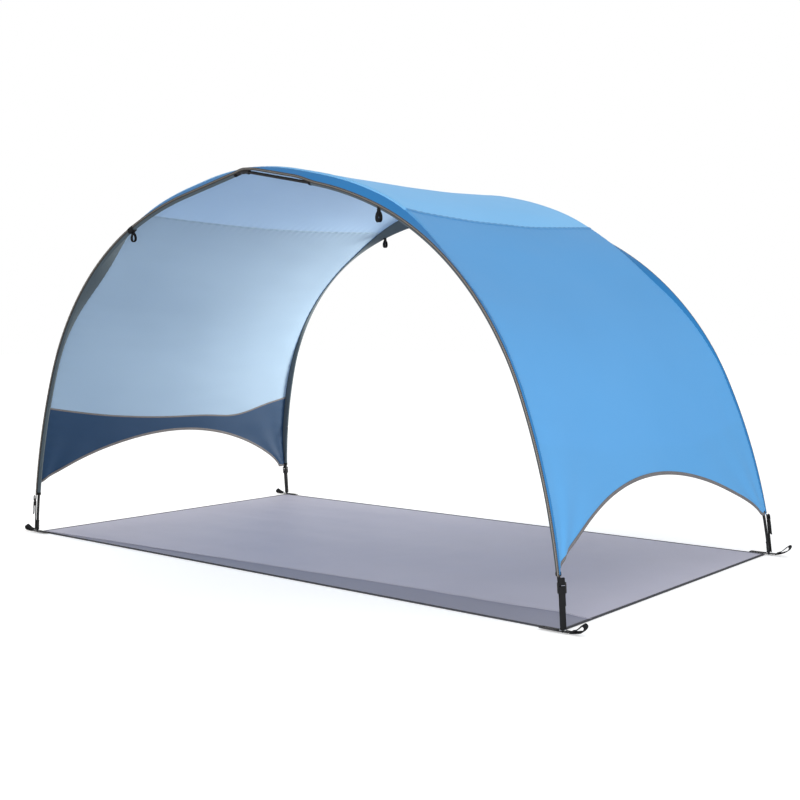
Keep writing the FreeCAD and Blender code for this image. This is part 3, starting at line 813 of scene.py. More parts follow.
def blend_half(piece, half, slot, *nodes):
    """Bakes the piece's place into its points and may replace nodes."""
    if half == "front":
        start, end = Vector((0, 0, 0)), Vector((0, CREASE_BACK - HOOP_Y, 0))
    else:
        ahead = Vector((0, math.cos(BACK_LEAN), math.sin(BACK_LEAN)))
        start = Vector((0, 0, cad_box[1].z))
        crease_plane = HOOP_Y * ahead.y + FOOT_Z * ahead.z - CREASE_BACK
        end = start + ahead * (crease_plane - start.dot(ahead))
    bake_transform(piece)
    if nodes:
        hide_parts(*nodes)


LIP = 0.0085
CREASE_BACK = 0.0365


def with_lip(s, grid, half, depth):
    """Adds the strip of canopy cloth that laps over the facing band beyond the crease."""
    lip = []
    for first in s[:, 0]:
        points, off = band_surface(half, first if half == "front" else POLE_LENGTH - first)
        across = (points[0] - points[-1]).normalized() * LIP
        rise = 0.0009 - depth
        lip.append([points[-1] + across + off * rise, points[-1] + across * 0.5 + off * (rise + 0.0002)])
    return np.concatenate([np.array(lip, float), grid], axis=1)


HALF_COLUMNS = 76


def canopy_panel(name, half, first, last, rows, sides, slot, cad_node):
    s, share = half_grid(first, last, half, rows, HALF_COLUMNS)
    outer, inner = (with_lip(s, cloth_grid(s, share, depth), half, depth) for depth in (0.0, CLOTH))
    chart = sheet_map_of(s, share)
    chart = np.concatenate([chart[:, :1] - (0, LIP), chart[:, :1] - (0, LIP / 2), chart], axis=1)
    panel = shell_piece(name, outer, inner, sides, chart)
    blend_half(panel, half, slot, cad_node)


def wall_edges(side):
    """The roof seam, the scallop and the lining's top on one wall, as distances for given shares."""
    edges = (SEAM_EDGE[side], SCALLOP_EDGE[side], LINING_EDGE)
    return [lambda share, edge=edge: edge_at(edge, share, side) for edge in edges]


def line_on(edge, half, side, count):
    """Seats along one of the canopy's edges, with the directions up the cloth and inwards."""
    s, share = (grid[0] for grid in half_grid(edge, edge, half, 2, count))
    return line_at(s, share, side)


def line_at(s, share, side):
    """The same for stations and shares that are given."""
    base = canopy_at(s, share)
    inward = look_up(INWARD, s)
    seat = base + inward * (wrinkles(base, s, share) - SEAM_ALLOWANCE)[:, None]
    above = canopy_at(s - side * 0.004, share) - base
    return seat, above / np.linalg.norm(above, axis=1)[:, None], inward


def tape_on(name, line, section, made, half, slot, *nodes):
    """Tape with a section of (up, deep) points along a line on the canopy."""
    rings = [[seat + above * up + inward * deep for up, deep in section] for seat, above, inward in zip(*line)]
    blend_half(tube_piece(name, rings, made, sharp=60), half, slot, *nodes)


def stitches_on(name, line, places, made, half, slot):
    """A row of stitches at each (up, deep) beside a line on the canopy."""
    seat, above, inward = line
    rows = [(seat + above * up + inward * deep, inward if deep > 0 else -inward) for up, deep in places]
    blend_half(stitch_piece(name, rows, made), half, slot)


def scallop_hem(word, side, half):
    """Folded tape round the wall's lower edge, with its stitches inside and outside."""
    line = line_on(wall_edges(side)[1], half, side, 90)
    section = [(0.0086, -0.0008), (0.0075, -0.0012), (0.0010, -0.0012), (-0.0006, -0.0004), (-0.0011, 0.0009),
               (-0.0006, 0.0024), (0.0010, 0.0032), (0.0075, 0.0032), (0.0086, 0.0028)]
    tape_on(f"{word}_wall_{half}_hem_tape", line, section, HEM, half, "binding_tape", f"{word}_wall_hem")
    places = [(0.0055, -0.0012), (0.0055, 0.0032)]
    stitches_on(f"{word}_wall_{half}_hem_stitches", line, places, PALE_THREAD, half, "binding_tape")


def wall_lining(word, side, half):
    """The dark layer sewn inside the foot of an end wall, and the tape along its top."""
    _, low, top = wall_edges(side)
    s, share = half_grid(top, low, half, 34, HALF_COLUMNS)
    outer, inner = (cloth_grid(s, share, CLOTH + depth) for depth in (0.0005, 0.0012))
    chart = sheet_map_of(s, share)
    lining = shell_piece(f"{word}_wall_{half}_lining_cloth", outer, inner, [LINING, LINING], chart)
    blend_half(lining, half, "lining_cloth", f"{word}_wall_lining")
    section = [(0.0030, 0.0012), (0.0028, 0.0021), (0.0010, 0.0025), (-0.0026, 0.0025), (-0.0032, 0.0019),
               (-0.0032, 0.0014)]
    name = f"{word}_wall_{half}_lining_tape"
    line = line_at(s[0], share[0], side)
    tape_on(name, line, section, HEM, half, "binding_tape")
    stitches_on(name + "_stitches", line, [(0.0004, 0.0026)], PALE_THREAD, half, "binding_tape")


def roof_seam(word, side, half):
    """The lapped seam between the roof and an end wall: a raised fold with two rows of stitches."""
    line = line_on(wall_edges(side)[0], half, side, 110)
    lap = [(-0.0052, -0.0002), (-0.0054, -0.0009), (-0.0040, -0.0013), (0.0045, -0.0012), (0.0062, -0.0002)]
    allowance = [(-0.0040, 0.0010), (-0.0034, 0.0019), (0.0034, 0.0019), (0.0040, 0.0010)]
    name = f"{word}_roof_seam_{half}"
    tape_on(f"{name}_lap", line, lap, WALL, half, "wall_cloth")
    tape_on(f"{name}_allowance", line, allowance, INSIDE, half, "wall_cloth")
    places = [(up, deep) for up in (-0.0022, 0.0022) for deep in (-0.0013, 0.0019)]
    stitches_on(f"{name}_stitches", line, places, THREAD, half, "wall_cloth")


def canopy():
    left, right = wall_edges(-1), wall_edges(1)
    flats = {"front": ((1.04, 0.57), (1.00, 0.57)), "back": ((1.04, 0.42), (1.00, 0.48))}
    for half, (roof_flat, wall_flat) in flats.items():
        canopy_panel(f"roof_{half}_cloth", half, left[0], right[0], 150, [LIT_ROOF, LIT_ROOF_INSIDE], "roof_cloth",
                     "roof_panel")
        for word, side, edges in (("left", -1, left), ("right", 1, right)):
            canopy_panel(f"{word}_wall_{half}_cloth", half, edges[0], edges[1], 120, [WALL, INSIDE],
                         "wall_cloth", f"{word}_wall_panel")
            wall_lining(word, side, half)
            scallop_hem(word, side, half)
            roof_seam(word, side, half)


def crease_stitches(hoop):
    """Two rows of stitches where the canopy laps over the facing band."""
    rows = []
    for back in (0.0022, 0.0066):
        line, outs = [], []
        for s in spread(CLOTH_START + 0.01, POLE_LENGTH - CLOTH_START - 0.01, 0.010):
            points, off = band_surface(hoop, s)
            up, low = points[-1], points[0]
            line.append(up + (low - up).normalized() * back + off * 0.0010)
            outs.append(off)
        rows.append((line, outs))
    ride_hoop(stitch_piece(f"{hoop}_crease_stitches", rows, THREAD), hoop, "band_cloth")


# ---- the ground mat -------------------------------------------------------------------
MAT_HEM = 0.0075
STRIP_RIGHT = 0.140
STRIP_LEFT = 0.012


def strip_line(x):
    """How far behind the front edge the mat's front strip is sewn on."""
    share = (x + MAT_LENGTH / 2) / MAT_LENGTH
    return STRIP_LEFT + (STRIP_RIGHT - STRIP_LEFT) * min(max(share, 0.0), 1.0) ** 0.85


def mat_height(x, y):
    """Top of the mat: low at its bound edges and under the corner tabs, gently uneven between."""
    inside_x, inside_y = MAT_LENGTH / 2 - abs(x), MAT_WIDTH / 2 - abs(y)
    free = smooth(min(inside_x, inside_y), 0.012, 0.10)
    corner = smooth(math.hypot(inside_x, inside_y * 2.0), 0.10, 0.30)
    broad = 0.0040 * (0.5 + noise.noise(Vector((x * 2.3, y * 2.6, 1.7))))
    fine = 0.0008 * noise.noise(Vector((x * 14.0, y * 17.0, 6.0)))
    crease_gap = abs(y + MAT_WIDTH / 2 - strip_line(x))
    ridge = 0.0022 * math.exp(-((crease_gap / 0.010) ** 2)) * smooth(x, -0.9, -0.2)
    wander = 1.4 * noise.noise(Vector((x * 1.5, 0.0, 0.0)))
    long_fold = 0.0016 * math.sin(y * 34.0 + wander) * smooth(abs(x), 1.05, 0.55)
    return 0.0022 + max((broad + fine + ridge + 0.4 * long_fold) * free * corner, -0.0006)


def mat_part(name, made, shares, strip):
    """The mat's narrow front strip, or its main part, which laps over the strip's back edge."""
    columns = np.linspace(-MAT_LENGTH / 2 + 0.002, MAT_LENGTH / 2 - 0.002, 210)
    top = []
    for t in shares:
        line = []
        for x in columns:
            seam = strip_line(x)
            start, end = (0.002, seam + 0.0035) if strip else (seam - 0.0035, MAT_WIDTH - 0.002)
            y = -MAT_WIDTH / 2 + start + (end - start) * t
            z = mat_height(x, y)
            if not strip:
                z += 0.0003 if t == shares[0] else 0.0
                z += 0.0010 if y < -MAT_WIDTH / 2 + seam + 0.0036 else 0.0
            line.append((x, y, z))
        top.append(line)
    top = np.array(top)
    return shell_piece(name, top, top - np.array([0, 0, 0.0009]), [made, made], top[:, :, :2])


def ground_mat():
    main = mat_part("mat_main_cloth", MAT, np.linspace(0.0, 1.0, 96), strip=False)
    strip = mat_part("mat_front_strip_cloth", SHADED_MAT_STRIP, np.linspace(0.0, 1.0, 12), strip=True)
    for piece, wide in ((main, 1.125), (strip, 0.085)):
        ride(piece, "mat_and_canopy", "mat_cloth", "ground_mat")
    seam = []
    for x in np.linspace(-MAT_LENGTH / 2 + 0.03, MAT_LENGTH / 2 - 0.01, 200):
        y = -MAT_WIDTH / 2 + strip_line(x)
        seam.append((x, y - 0.0005, mat_height(x, y) + 0.0013))
    sewn = stitch_piece("mat_strip_stitches", [(seam, [(0, 0, 1)] * len(seam))], MAT_TAPE)
    ride(sewn, "mat_and_canopy", "mat_cloth")
    mat_binding()


def border_path(inset, spacing):
    """Points round the mat at an inset from its edge, with small rounded corners."""
    half_x, half_y, radius = MAT_LENGTH / 2 - inset, MAT_WIDTH / 2 - inset, 0.010
    centres = [(1, 1, 0), (-1, 1, 90), (-1, -1, 180), (1, -1, 270)]
    path = []
    for side_x, side_y, start in centres:
        for angle in np.linspace(start, start + 90, 5):
            a = math.radians(angle)
            path.append((side_x * (half_x - radius) + radius * math.cos(a),
                         side_y * (half_y - radius) + radius * math.sin(a)))
    path.append(path[0])
    path = np.array(path)
    along = distances(path)
    return sample(path, along, np.arange(0.0, along[-1], spacing))


def mat_binding():
    """Tape folded round the mat's edge."""
    section = [(0.0, 0.0002), (-0.0012, 0.0014), (-0.0008, 0.0026), (0.0010, 0.0032), (MAT_HEM, 0.0032),
               (MAT_HEM + 0.0006, 0.0024), (MAT_HEM, 0.0004)]
    centre = border_path(0.0012, 0.012)
    ahead = np.roll(centre, -1, 0) - np.roll(centre, 1, 0)
    ahead /= np.linalg.norm(ahead, axis=1)[:, None]
    rings = [[(x - dy * w, y + dx * w, z) for w, z in section] for (x, y), (dx, dy) in zip(centre, ahead)]
    ride(loop_piece("mat_binding_tape", rings, MAT_TAPE, 60), "mat_and_canopy", "mat_binding", "mat_hem")
    line = [(x, y, 0.0033) for x, y in border_path(0.0012 + 0.0055, 0.012)]
    seam = stitch_piece("mat_binding_stitches", [(line, [(0, 0, 1)] * len(line))], PALE_THREAD)
    ride(seam, "mat_and_canopy", "mat_binding")


# ---- webbing and fittings -------------------------------------------------------------
WEBBING_THICK = 0.0014
STRAP_WIDE = 0.015


def eased(points, count):
    """A smooth line of evenly spaced points through a few given ones."""
    given = [Vector(p) for p in points]
    given = [given[0] * 2 - given[1], *given, given[-1] * 2 - given[-2]]
    dense = []
    for a, b, c, d in zip(given, given[1:], given[2:], given[3:]):
        for n in range(12):
            t = n / 12
            dense.append(0.5 * ((2 * b) + (c - a) * t + (2 * a - 5 * b + 4 * c - d) * t * t
                                + (3 * b - a - 3 * c + d) * t ** 3))
    dense.append(given[-2])
    dense = np.array(dense, float)
    along = distances(dense)
    return [Vector(point) for point in sample(dense, along, np.linspace(0, along[-1], count))]


def strap_rings(path, wide, width, thick=WEBBING_THICK):
    """Rings of a flat strap with round edges that follows a path; wide is across it."""
    wide = Vector(wide).normalized()
    bend = [(math.cos(a), math.sin(a)) for a in np.linspace(-math.pi / 2, math.pi / 2, 5)]
    edge = width / 2 - thick / 2
    section = [(edge + c * thick / 2, s * thick / 2) for c, s in bend]
    section += [(edge / 3, thick / 2), (-edge / 3, thick / 2)]
    section += [(-edge - c * thick / 2, -s * thick / 2) for c, s in bend]
    section += [(-edge / 3, -thick / 2), (edge / 3, -thick / 2)]
    rings = []
    for before, at, after in zip([path[0], *path], path, [*path[1:], path[-1]]):
        off = (after - before).normalized().cross(wide).normalized()
        rings.append([at + wide * w + off * n for w, n in section])
    return rings


def strap_map(rings):
    """Webbing map: across the strap and along it, the same on both faces."""
    rings = np.array(rings, float)
    centre = rings.mean(1)
    wide = rings[0] - centre[0]
    axis = wide[np.argmax(np.linalg.norm(wide, axis=1))]
    across = wide @ (axis / np.linalg.norm(axis))
    return np.stack(np.meshgrid(across, distances(centre)), -1).reshape(-1, 2)


def strap_piece(name, path, wide, width, made=None, thick=WEBBING_THICK):
    rings = strap_rings(path, wide, width, thick)
    points, faces = tube(rings)
    return build(name, points, faces, [made or WEBBING], sheet_map=strap_map(rings), sharp=55)


def strap_frame(side):
    """The (normal, width, along) frame at a hoop's foot; side is -1 at the left and 1 at the right."""
    along = Vector((-side * math.sin(HOOP_START_LEAN), 0, math.cos(HOOP_START_LEAN)))
    wide = along.cross(Vector((side, -1, 0))).normalized()
    out = wide.cross(along).normalized()
    made = Matrix((out, wide, along)).transposed().to_4x4()
    made.translation = Vector((side * FOOT_X, 0, FOOT_Z)) + out * 0.010
    return made


LOCK_MIDDLE = 0.102
LOCK_PITCH = 0.009
TURN = 0.0030


def arc(centre, radius, first, last, count):
    """Points of an arc in the (normal, along) plane."""
    angles = np.linspace(math.radians(first), math.radians(last), count)
    return [Vector((centre[0] + radius * math.cos(a), 0, centre[1] + radius * math.sin(a))) for a in angles]


def corner_sides(hoop, word):
    """Which way a corner of the mat lies: -1 or 1 along X, and along Y."""
    return (-1 if word == "left" else 1), (-1 if hoop == "front" else 1)


def hoop_side(hoop, word):
    """-1 or 1: which end of its own line a hoop's foot is."""
    side = -1 if word == "left" else 1
    return side if hoop == "front" else -side


def corner_strap(hoop, word):
    """The strap from the mat's corner, doubled back round the ladder lock's middle bar."""
    place = HOOPS[hoop] @ strap_frame(hoop_side(hoop, word))
    leg = [(-0.0028, 0, 0.0045), (-0.0030, 0, 0.030), (-0.0032, 0, 0.070), (-TURN, 0, LOCK_MIDDLE - 0.004)]
    turn = arc((0, LOCK_MIDDLE), TURN, 180, 0, 13)
    tail = [(TURN, 0, LOCK_MIDDLE - 0.004), (0.0032, 0, 0.086), (0.0030, 0, 0.072), (0.0036, 0, 0.060)]
    strap = [*eased(leg, 26), *turn, *eased(tail, 16)]
    top = LOCK_MIDDLE + LOCK_PITCH
    up = eased([(-0.0030, 0, 0.1245), (-0.0032, 0, 0.118), (-TURN, 0, top + 0.001)], 8)
    down = eased([(TURN, 0, top + 0.001), (0.0030, 0, 0.118), (0.0024, 0, 0.1245)], 8)
    anchor = [*up, *arc((0, top), TURN, 180, 360, 13), *down]
    for name, path, cad_node in (("strap", strap, "strap"), ("anchor", anchor, "strap_anchor")):
        piece = strap_piece(f"{hoop}_{word}_{name}_webbing", path, (0, 1, 0), STRAP_WIDE)
        piece.data.transform(place)
        ride_hoop(piece, hoop, "webbing", f"{hoop}_{word}_{cad_node}")


def round_bar(ends, half_wide, half_deep, squareness=4.0, rings=9):
    """A moulded bar with soft edges between two points, wide along Y and deep along X or Z."""
    first, last = Vector(ends[0]), Vector(ends[1])
    ahead = (last - first).normalized()
    side = Vector((1, 0, 0)) if abs(ahead.x) < 0.9 else Vector((0, 0, 1))
    other = ahead.cross(side)
    made = []
    for n in range(rings):
        t = n / (rings - 1)
        shrink = 1.0 - 0.35 * abs(2 * t - 1) ** 8
        ring = []
        for c, s in circle(1.0, 20):
            swell = (abs(c) ** squareness + abs(s) ** squareness) ** (-1 / squareness)
            ring.append(first.lerp(last, t) + side * c * swell * half_deep * shrink
                        + other * s * swell * half_wide * shrink)
        made.append(ring)
    return made


LOCK_VOXEL = 0.00045


def fused(name, groups, voxel, made):
    """One moulded solid from overlapping bars."""
    points, faces = [], []
    for rings in groups:
        more, more_faces = tube(rings, len(points))
        points += list(more)
        faces += more_faces
    piece = build(name, points, faces, [made])
    melt = piece.modifiers.new("melt", "REMESH")
    melt.mode = "VOXEL"
    melt.voxel_size = voxel
    melt.use_smooth_shade = True
    even = piece.modifiers.new("even", "SMOOTH")
    even.iterations = 3
    even.factor = 0.5
    shown = piece.evaluated_get(bpy.context.evaluated_depsgraph_get())
    mesh = bpy.data.meshes.new_from_object(shown)
    piece.modifiers.clear()
    piece.data = mesh
    if not mesh.materials:
        mesh.materials.append(made)
    return piece


def ladder_lock(hoop, word):
    """Two rails and three bars, with a thumb lip at the lower end."""
    rail = STRAP_WIDE / 2 + 0.0020
    high = LOCK_PITCH + 0.0040
    groups = [round_bar([(0, w, -high), (0, w, high)], 0.0015, 0.0020, rings=13) for w in (-rail, rail)]
    for t in (-LOCK_PITCH, 0.0, LOCK_PITCH):
        groups.append(round_bar([(0, -rail - 0.0008, t), (0, rail + 0.0008, t)], 0.0015, 0.0015, 3.0))
    lip = [(0.0012, w, -high + 0.0006) for w in (-rail - 0.0010, rail + 0.0010)]
    groups.append(round_bar(lip, 0.0012, 0.0017, 3.0))
    piece = fused(f"{hoop}_{word}_ladder_lock_body", groups, LOCK_VOXEL, PLASTIC)
    place = HOOPS[hoop] @ strap_frame(hoop_side(hoop, word)) @ Matrix.Translation((0, 0, LOCK_MIDDLE))
    piece.data.transform(place)
    ride(piece, f"{hoop}_{word}_ladder_lock", "buckle_plastic", f"{hoop}_{word}_ladder_lock")


TIP_OUTSIDE = (
    (0.0008, -0.00348), (0.0020, -0.0029), (0.0030, -0.0018), (0.0035, 0.0), (0.0035, 0.0022),
    (0.0029, 0.0028), (0.0029, 0.0034), (0.0035, 0.0040), (0.0035, 0.0050), (0.0056, 0.0054),
    (0.0060, 0.0060), (0.0060, 0.0075), (0.0055, 0.0080), (0.0055, 0.0130), (0.0059, 0.0135),
    (0.0059, 0.0150), (0.0055, 0.0155), (0.0055, 0.0180), (0.0059, 0.0185), (0.0059, 0.0200),
    (0.0055, 0.0205), (0.0054, 0.0330), (0.0058, 0.0340), (0.0060, 0.0360), (0.0058, 0.0378),
    (0.0053, 0.0382), (0.0049, 0.0380),
)
TIP_INSIDE = ((0.0046, 0.0360), (0.0045, 0.0200), (0.0045, 0.0093), (0.0010, 0.0092))


def lathe(profile, columns=36):
    return np.array([[(u, v, z) for u, v in circle(r, columns)] for r, z in profile])


def pole_tip(hoop, word):
    """The moulded foot: a round-ended pin, a collar, and a ribbed socket that holds the pole."""
    piece = tube_piece(f"{hoop}_{word}_pole_foot", lathe(TIP_OUTSIDE + TIP_INSIDE), PLASTIC, 40)
    side = hoop_side(hoop, word)
    lean = Matrix.Rotation(-side * HOOP_START_LEAN, 4, "Y")
    piece.data.transform(HOOPS[hoop] @ Matrix.Translation((side * FOOT_X, 0, FOOT_Z)) @ lean)
    ride_hoop(piece, hoop, "tip_plastic", f"{hoop}_{word}_pole_tip")


EYELET_SHAPE = (
    (0.0050, 0.0031), (0.0054, 0.00302), (0.0064, 0.0030), (0.0076, 0.0031), (0.0080, 0.0034),
    (0.0076, 0.0036),
    (0.0063, 0.0036), (0.0060, 0.0040), (0.0060, 0.0048), (0.0063, 0.0052), (0.0076, 0.0053), (0.0081, 0.0055),
    (0.0076, 0.0059), (0.0066, 0.0061), (0.0056, 0.0060), (0.0051, 0.0057), (0.0050, 0.0050),
)


def eyelets():
    """A rolled metal eyelet in each corner tab, as one piece of four solids."""
    points, faces = [], []
    rings = lathe(EYELET_SHAPE, 40)
    for side, end in ((-1, -1), (1, -1), (-1, 1), (1, 1)):
        faces += loop_faces(*rings.shape[:2], len(points))
        points += list(rings.reshape(-1, 3) + np.array([side * FOOT_X, end * HOOP_Y, 0.0]))
    piece = build("rolled_eyelets", points, faces, [BRASS], sharp=50)
    ride(piece, "mat_and_canopy", "eyelet_metal", "mat_eyelets")


TAB_INSIDE = 0.060
TAB_OUTSIDE = 0.020
TAB_WIDE = 0.020


def corner_tab(hoop, word):
    """Webbing sewn to the mat's corner, with a hole for the eyelet and a boxed cross of stitches."""
    side, end = corner_sides(hoop, word)
    half = TAB_WIDE / 2
    outline = []
    for x, y, start in ((TAB_OUTSIDE, half, 0), (-TAB_INSIDE, half, 90), (-TAB_INSIDE, -half, 180),
                        (TAB_OUTSIDE, -half, 270)):
        cx, cy = x - math.copysign(0.0015, x), y - math.copysign(0.0015, y)
        for a in np.linspace(start, start + 90, 4):
            outline.append((cx + 0.0015 * math.cos(math.radians(a)), cy + 0.0015 * math.sin(math.radians(a))))
    work = bmesh.new()
    edges = []
    for loop in (outline, circle(0.0063, 32)):
        made = [work.verts.new((x * side, y, 0.0)) for x, y in loop]
        edges += [work.edges.new((a, b)) for a, b in zip(made, made[1:] + made[:1])]
    bmesh.ops.triangle_fill(work, use_beauty=True, edges=edges)
    for face in list(work.faces):
        if all(math.hypot(v.co.x, v.co.y) < 0.0064 for v in face.verts):
            work.faces.remove(face)
    lifted = bmesh.ops.extrude_face_region(work, geom=list(work.faces))
    for item in lifted["geom"]:
        if isinstance(item, bmesh.types.BMVert):
            item.co.z += 0.0014
    bmesh.ops.recalc_face_normals(work, faces=work.faces)
    mesh = bpy.data.meshes.new(f"{hoop}_{word}_tab_webbing")
    work.to_mesh(mesh)
    work.free()
    mesh.materials.append(WEBBING)
    lay_weave(mesh, [(v.co.y, v.co.x) for v in mesh.vertices])
    mesh.set_sharp_from_angle(angle=math.radians(40))
    centre = Vector((side * FOOT_X, end * HOOP_Y, 0.0037))
    mesh.transform(Matrix.Translation(centre))
    piece = bpy.data.objects.new(mesh.name, mesh)
    bpy.context.scene.collection.objects.link(piece)
    ride(piece, "mat_and_canopy", "webbing", f"{hoop}_{word}_corner_tab")
    near, far, w = -0.018, -0.056, 0.0072
    rows = []
    for a, b in (((near, w), (far, w)), ((far, w), (far, -w)), ((far, -w), (near, -w)),
                 ((near, -w), (near, w)), ((near, w), (far, -w)), ((near, -w), (far, w)),
                 ((0.0125, w), (0.0125, -w)), ((0.0150, -w), (0.0150, w))):
        line = [centre + Vector((side * (a[0] + (b[0] - a[0]) * t), a[1] + (b[1] - a[1]) * t, 0.0014))
                for t in np.linspace(0, 1, 12)]
        rows.append((line, [(0, 0, 1)] * len(line)))
    ride(stitch_piece(f"{hoop}_{word}_tab_stitches", rows, PALE_THREAD), "mat_and_canopy", "webbing")


STAKE_THICK = 0.0021
STAKE_SHAPES = {
    ("front", "left"): ((0.046, 0.0060), (0.0, 0.0020, 0.0052)),
    ("front", "right"): ((0.040, 0.0085), (0.0, 0.0050, 0.0130)),
    ("back", "left"): ((0.040, 0.0060), (0.0, 0.0030, 0.0040)),
    ("back", "right"): ((0.046, 0.0070), (0.0, 0.0100, 0.0230)),
}


def stake_loop(hoop, word):
    """A loop of webbing for a stake, lying out from the mat's corner."""
    side, end = corner_sides(hoop, word)
    (long, bulb), lift = STAKE_SHAPES[(hoop, word)]

    def raised(x):
        t = x / long
        return lift[1] * t + (lift[2] - lift[1]) * t * t

    start = 0.0046
    points = [(0.0008, start), (long * 0.30, start - 0.0008), (long * 0.62, start - 0.0024 + bulb * 0.05),
              (long - bulb * 0.9, start - 0.0022), (long - bulb * 0.15, start + bulb * 0.55),
              (long - bulb * 0.9, start + bulb * 1.55), (long * 0.62, start + bulb * 1.15),
              (long * 0.30, start + 0.0030), (0.0014, start + 0.0017)]
    path = eased([(side * x, 0, max(z + raised(x), 0.0012)) for x, z in points], 64)
    across = (0.30 * side, 1, 0.35)
    piece = strap_piece(f"{hoop}_{word}_stake_webbing", path, across, STRAP_WIDE, thick=STAKE_THICK)
    piece.data.transform(Matrix.Translation((side * (FOOT_X + 0.0225), end * HOOP_Y, 0)))
    ride(piece, f"{hoop}_{word}_stake_loop", "webbing", f"{hoop}_{word}_stake_loop")


WRAP_SECTION = ((-0.0118, 0.0002), (-0.0112, 0.0013), (0.0, 0.0017), (0.0112, 0.0013), (0.0118, 0.0002),
                (0.0114, 0.0), (-0.0114, 0.0))
WRAP_SQUARENESS = 0.6


def wrap_section(out, squared):
    """(u, v) round a sleeve's wrap: a squared oval that takes in the loop's ends, or a plain circle."""
    if not squared:
        return circle(SLEEVE_RADIUS + out / 2, 36)
    turns = np.linspace(0, math.tau, 36, endpoint=False)
    bent = [[math.copysign(abs(w) ** WRAP_SQUARENESS, w) for w in (math.cos(a), math.sin(a))] for a in turns]
    return [(0.0003 + (0.0080 + out) * u, -0.0014 + (0.0078 + out) * v) for u, v in bent]


def hang_loop(hoop, word):
    """A short loop under the sleeve, and the webbing wrapped round the sleeve that holds it."""
    low, high = (Vector(corner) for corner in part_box(f"{hoop}_{word}_hang_loop"))
    pivot = Vector(((low.x + high.x) / 2, (low.y + high.y) / 2, high.z))
    long = high.z - low.z
    points = [(0.0009, 0.0), (0.0052, -long * 0.22), (0.0076, -long * 0.52), (0.0058, -long * 0.84),
              (0.0, -long + 0.0008), (-0.0060, -long * 0.82), (-0.0074, -long * 0.50), (-0.0048, -long * 0.20),
              (-0.0009, 0.0)]
    path = eased([(0, y, z) for y, z in points], 48)
    piece = strap_piece(f"{hoop}_{word}_hang_webbing", path, (1, 0, 0), 0.012)
    piece.data.transform(Matrix.Translation(pivot))
    ride(piece, f"{hoop}_{word}_hang_loop", "webbing", f"{hoop}_{word}_hang_loop")
    middle = min(STATIONS, key=lambda s: (HOOPS[hoop] @ on_line(POLE_LINE, s, 0, 0) - pivot).length)
    squared = (hoop, word) == ("front", "left")
    wide = 1.0 if squared else 0.5
    rings = [hoop_ring(hoop, middle + shift * wide, wrap_section(out, squared)) for shift, out in WRAP_SECTION]
    ride_hoop(loop_piece(f"{hoop}_{word}_hang_wrap", rings, WEBBING), hoop, "webbing")
    path = eased([pivot + Vector((0, 0, rise)) for rise in (-0.0012, 0.003, 0.0075)], 6)
    seat = strap_piece(f"{hoop}_{word}_hang_seat", path, (1, 0, 0), 0.0118, thick=0.0046)
    ride_hoop(seat, hoop, "webbing")


def care_label():
    """A blank folded label of woven cloth sewn to the back hoop's sleeve, curling away from it."""
    low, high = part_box("care_label")
    middle = (low + high) / 2
    tall = high.z - low.z
    path = eased([(0.0, 0, tall / 2), (0.0012, 0, tall / 4), (0.0034, 0, 0.0), (0.0050, 0, -tall / 4),
                  (0.0044, 0, -tall / 2)], 30)
    piece = strap_piece("blank_care_label", path, (0, 1, 0), 0.010, LABEL, 0.0005)
    piece.data.transform(Matrix.Translation(middle + Vector((0.0004, 0, 0))))
    ride_hoop(piece, "back", "label_cloth", "care_label")


def paint_frame():
    """Materials of the CAD pieces that stay in view."""
    for hoop in ("front", "back"):
        for part, made in (("long_sleeve_pole", POLE), ("short_sleeve_pole", POLE), ("pole_ferrules", STEEL),
                           ("shock_cord", ELASTIC)):
            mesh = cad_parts[f"{hoop}_{part}"].data
            mesh.materials.clear()
            mesh.materials.append(made)
            mesh.set_sharp_from_angle(angle=math.radians(40))


# ---- the setting ----------------------------------------------------------------------
LENS = 51.83
CAMERA_AT = (2.4295, -2.8556, 0.6861)
CAMERA_DIPS = math.radians(3.313)
CAMERA_TURNS = math.radians(39.554)


def camera():
    data = bpy.data.cameras.new("camera")
    data.lens = LENS
    data.sensor_width = 36.0
    made = bpy.data.objects.new("camera", data)
    made.location = CAMERA_AT
    made.rotation_euler = (math.pi / 2 - CAMERA_DIPS, 0.0, CAMERA_TURNS)
    bpy.context.scene.collection.objects.link(made)
    bpy.context.scene.camera = made


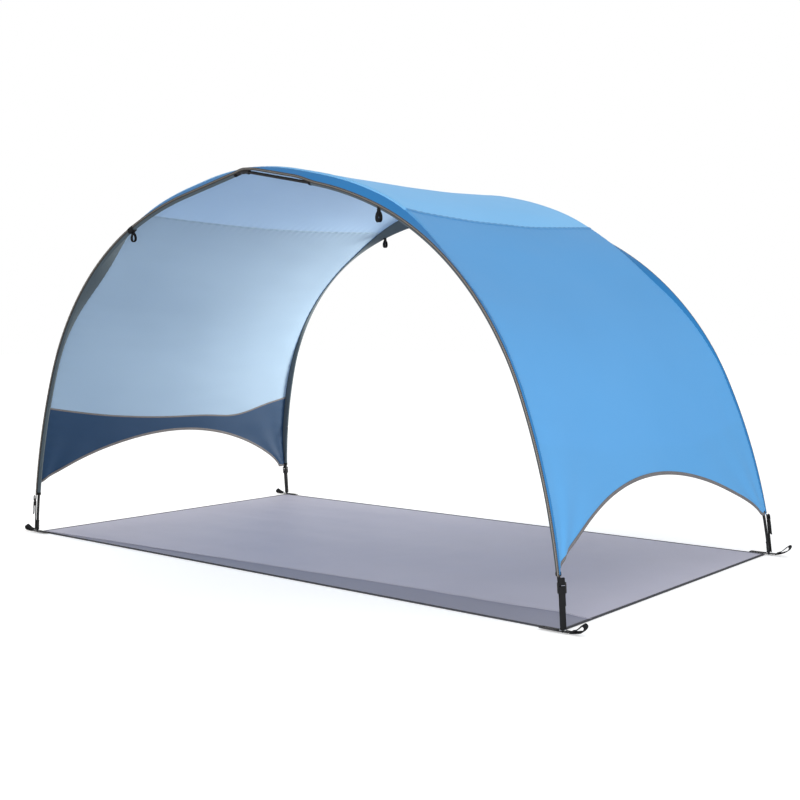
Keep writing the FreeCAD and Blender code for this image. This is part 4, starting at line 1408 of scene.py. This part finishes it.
def lamp(name, at, to, size, power, spread, colour=(1, 1, 1)):
    data = bpy.data.lights.new(name, "AREA")
    data.spread = math.radians(spread)
    data.shape = "RECTANGLE"
    data.size, data.size_y = size
    data.energy = power
    data.color = colour
    made = bpy.data.objects.new(name, data)
    made.location = at
    made.rotation_euler = (Vector(to) - Vector(at)).to_track_quat("-Z", "Y").to_euler()
    bpy.context.scene.collection.objects.link(made)


def setting():
    scene = bpy.context.scene
    scene.view_settings.view_transform = "Standard"
    world = bpy.data.worlds.new("studio")
    world.use_nodes = True
    world.node_tree.nodes["Background"].inputs["Color"].default_value = (1, 1, 1, 1)
    world.node_tree.nodes["Background"].inputs["Strength"].default_value = 1.0
    scene.world = world
    floor = build("floor", [(-30, -30, 0), (30, -30, 0), (30, 30, 0), (-30, 30, 0)], [(0, 1, 2, 3)], [
        material("floor", (0.93, 0.93, 0.93), (0.91, 0.91, 0.91), 0.9, 0.5, specular=0.0)])
    shader = floor.data.materials[0].node_tree.nodes["Principled BSDF"]
    shader.inputs["Emission Color"].default_value = (1, 1, 1, 1)
    shader.inputs["Emission Strength"].default_value = 0.22
    floor.location.z = -0.0004
    lamp("window behind", (0.50, 2.40, 0.75), (-0.85, 0.50, 1.02), (1.1, 1.1), 29.0, 66.0, (1.0, 0.93, 0.80))
    lamp("window before", (2.30, -3.00, 0.60), (1.05, -0.60, 0.45), (1.2, 1.0), 8.0, 50.0)
    camera()


# ---- everything -----------------------------------------------------------------------
for hoop_name in ("front", "back"):
    facing_band(hoop_name)
    edge_binding(hoop_name)
    pole_sleeve(hoop_name, "long", CLOTH_START - 0.002, CROWN - 0.028)
    pole_sleeve(hoop_name, "short", CROWN + SLEEVE_GAP, POLE_LENGTH - CLOTH_START + 0.002)
    crown_connector(hoop_name)
    crease_stitches(hoop_name)
canopy()
ground_mat()
for corner in CORNERS:
    corner_strap(*corner)
    ladder_lock(*corner)
    pole_tip(*corner)
    corner_tab(*corner)
    stake_loop(*corner)
    hang_loop(*corner)
eyelets()
care_label()
paint_frame()
setting()
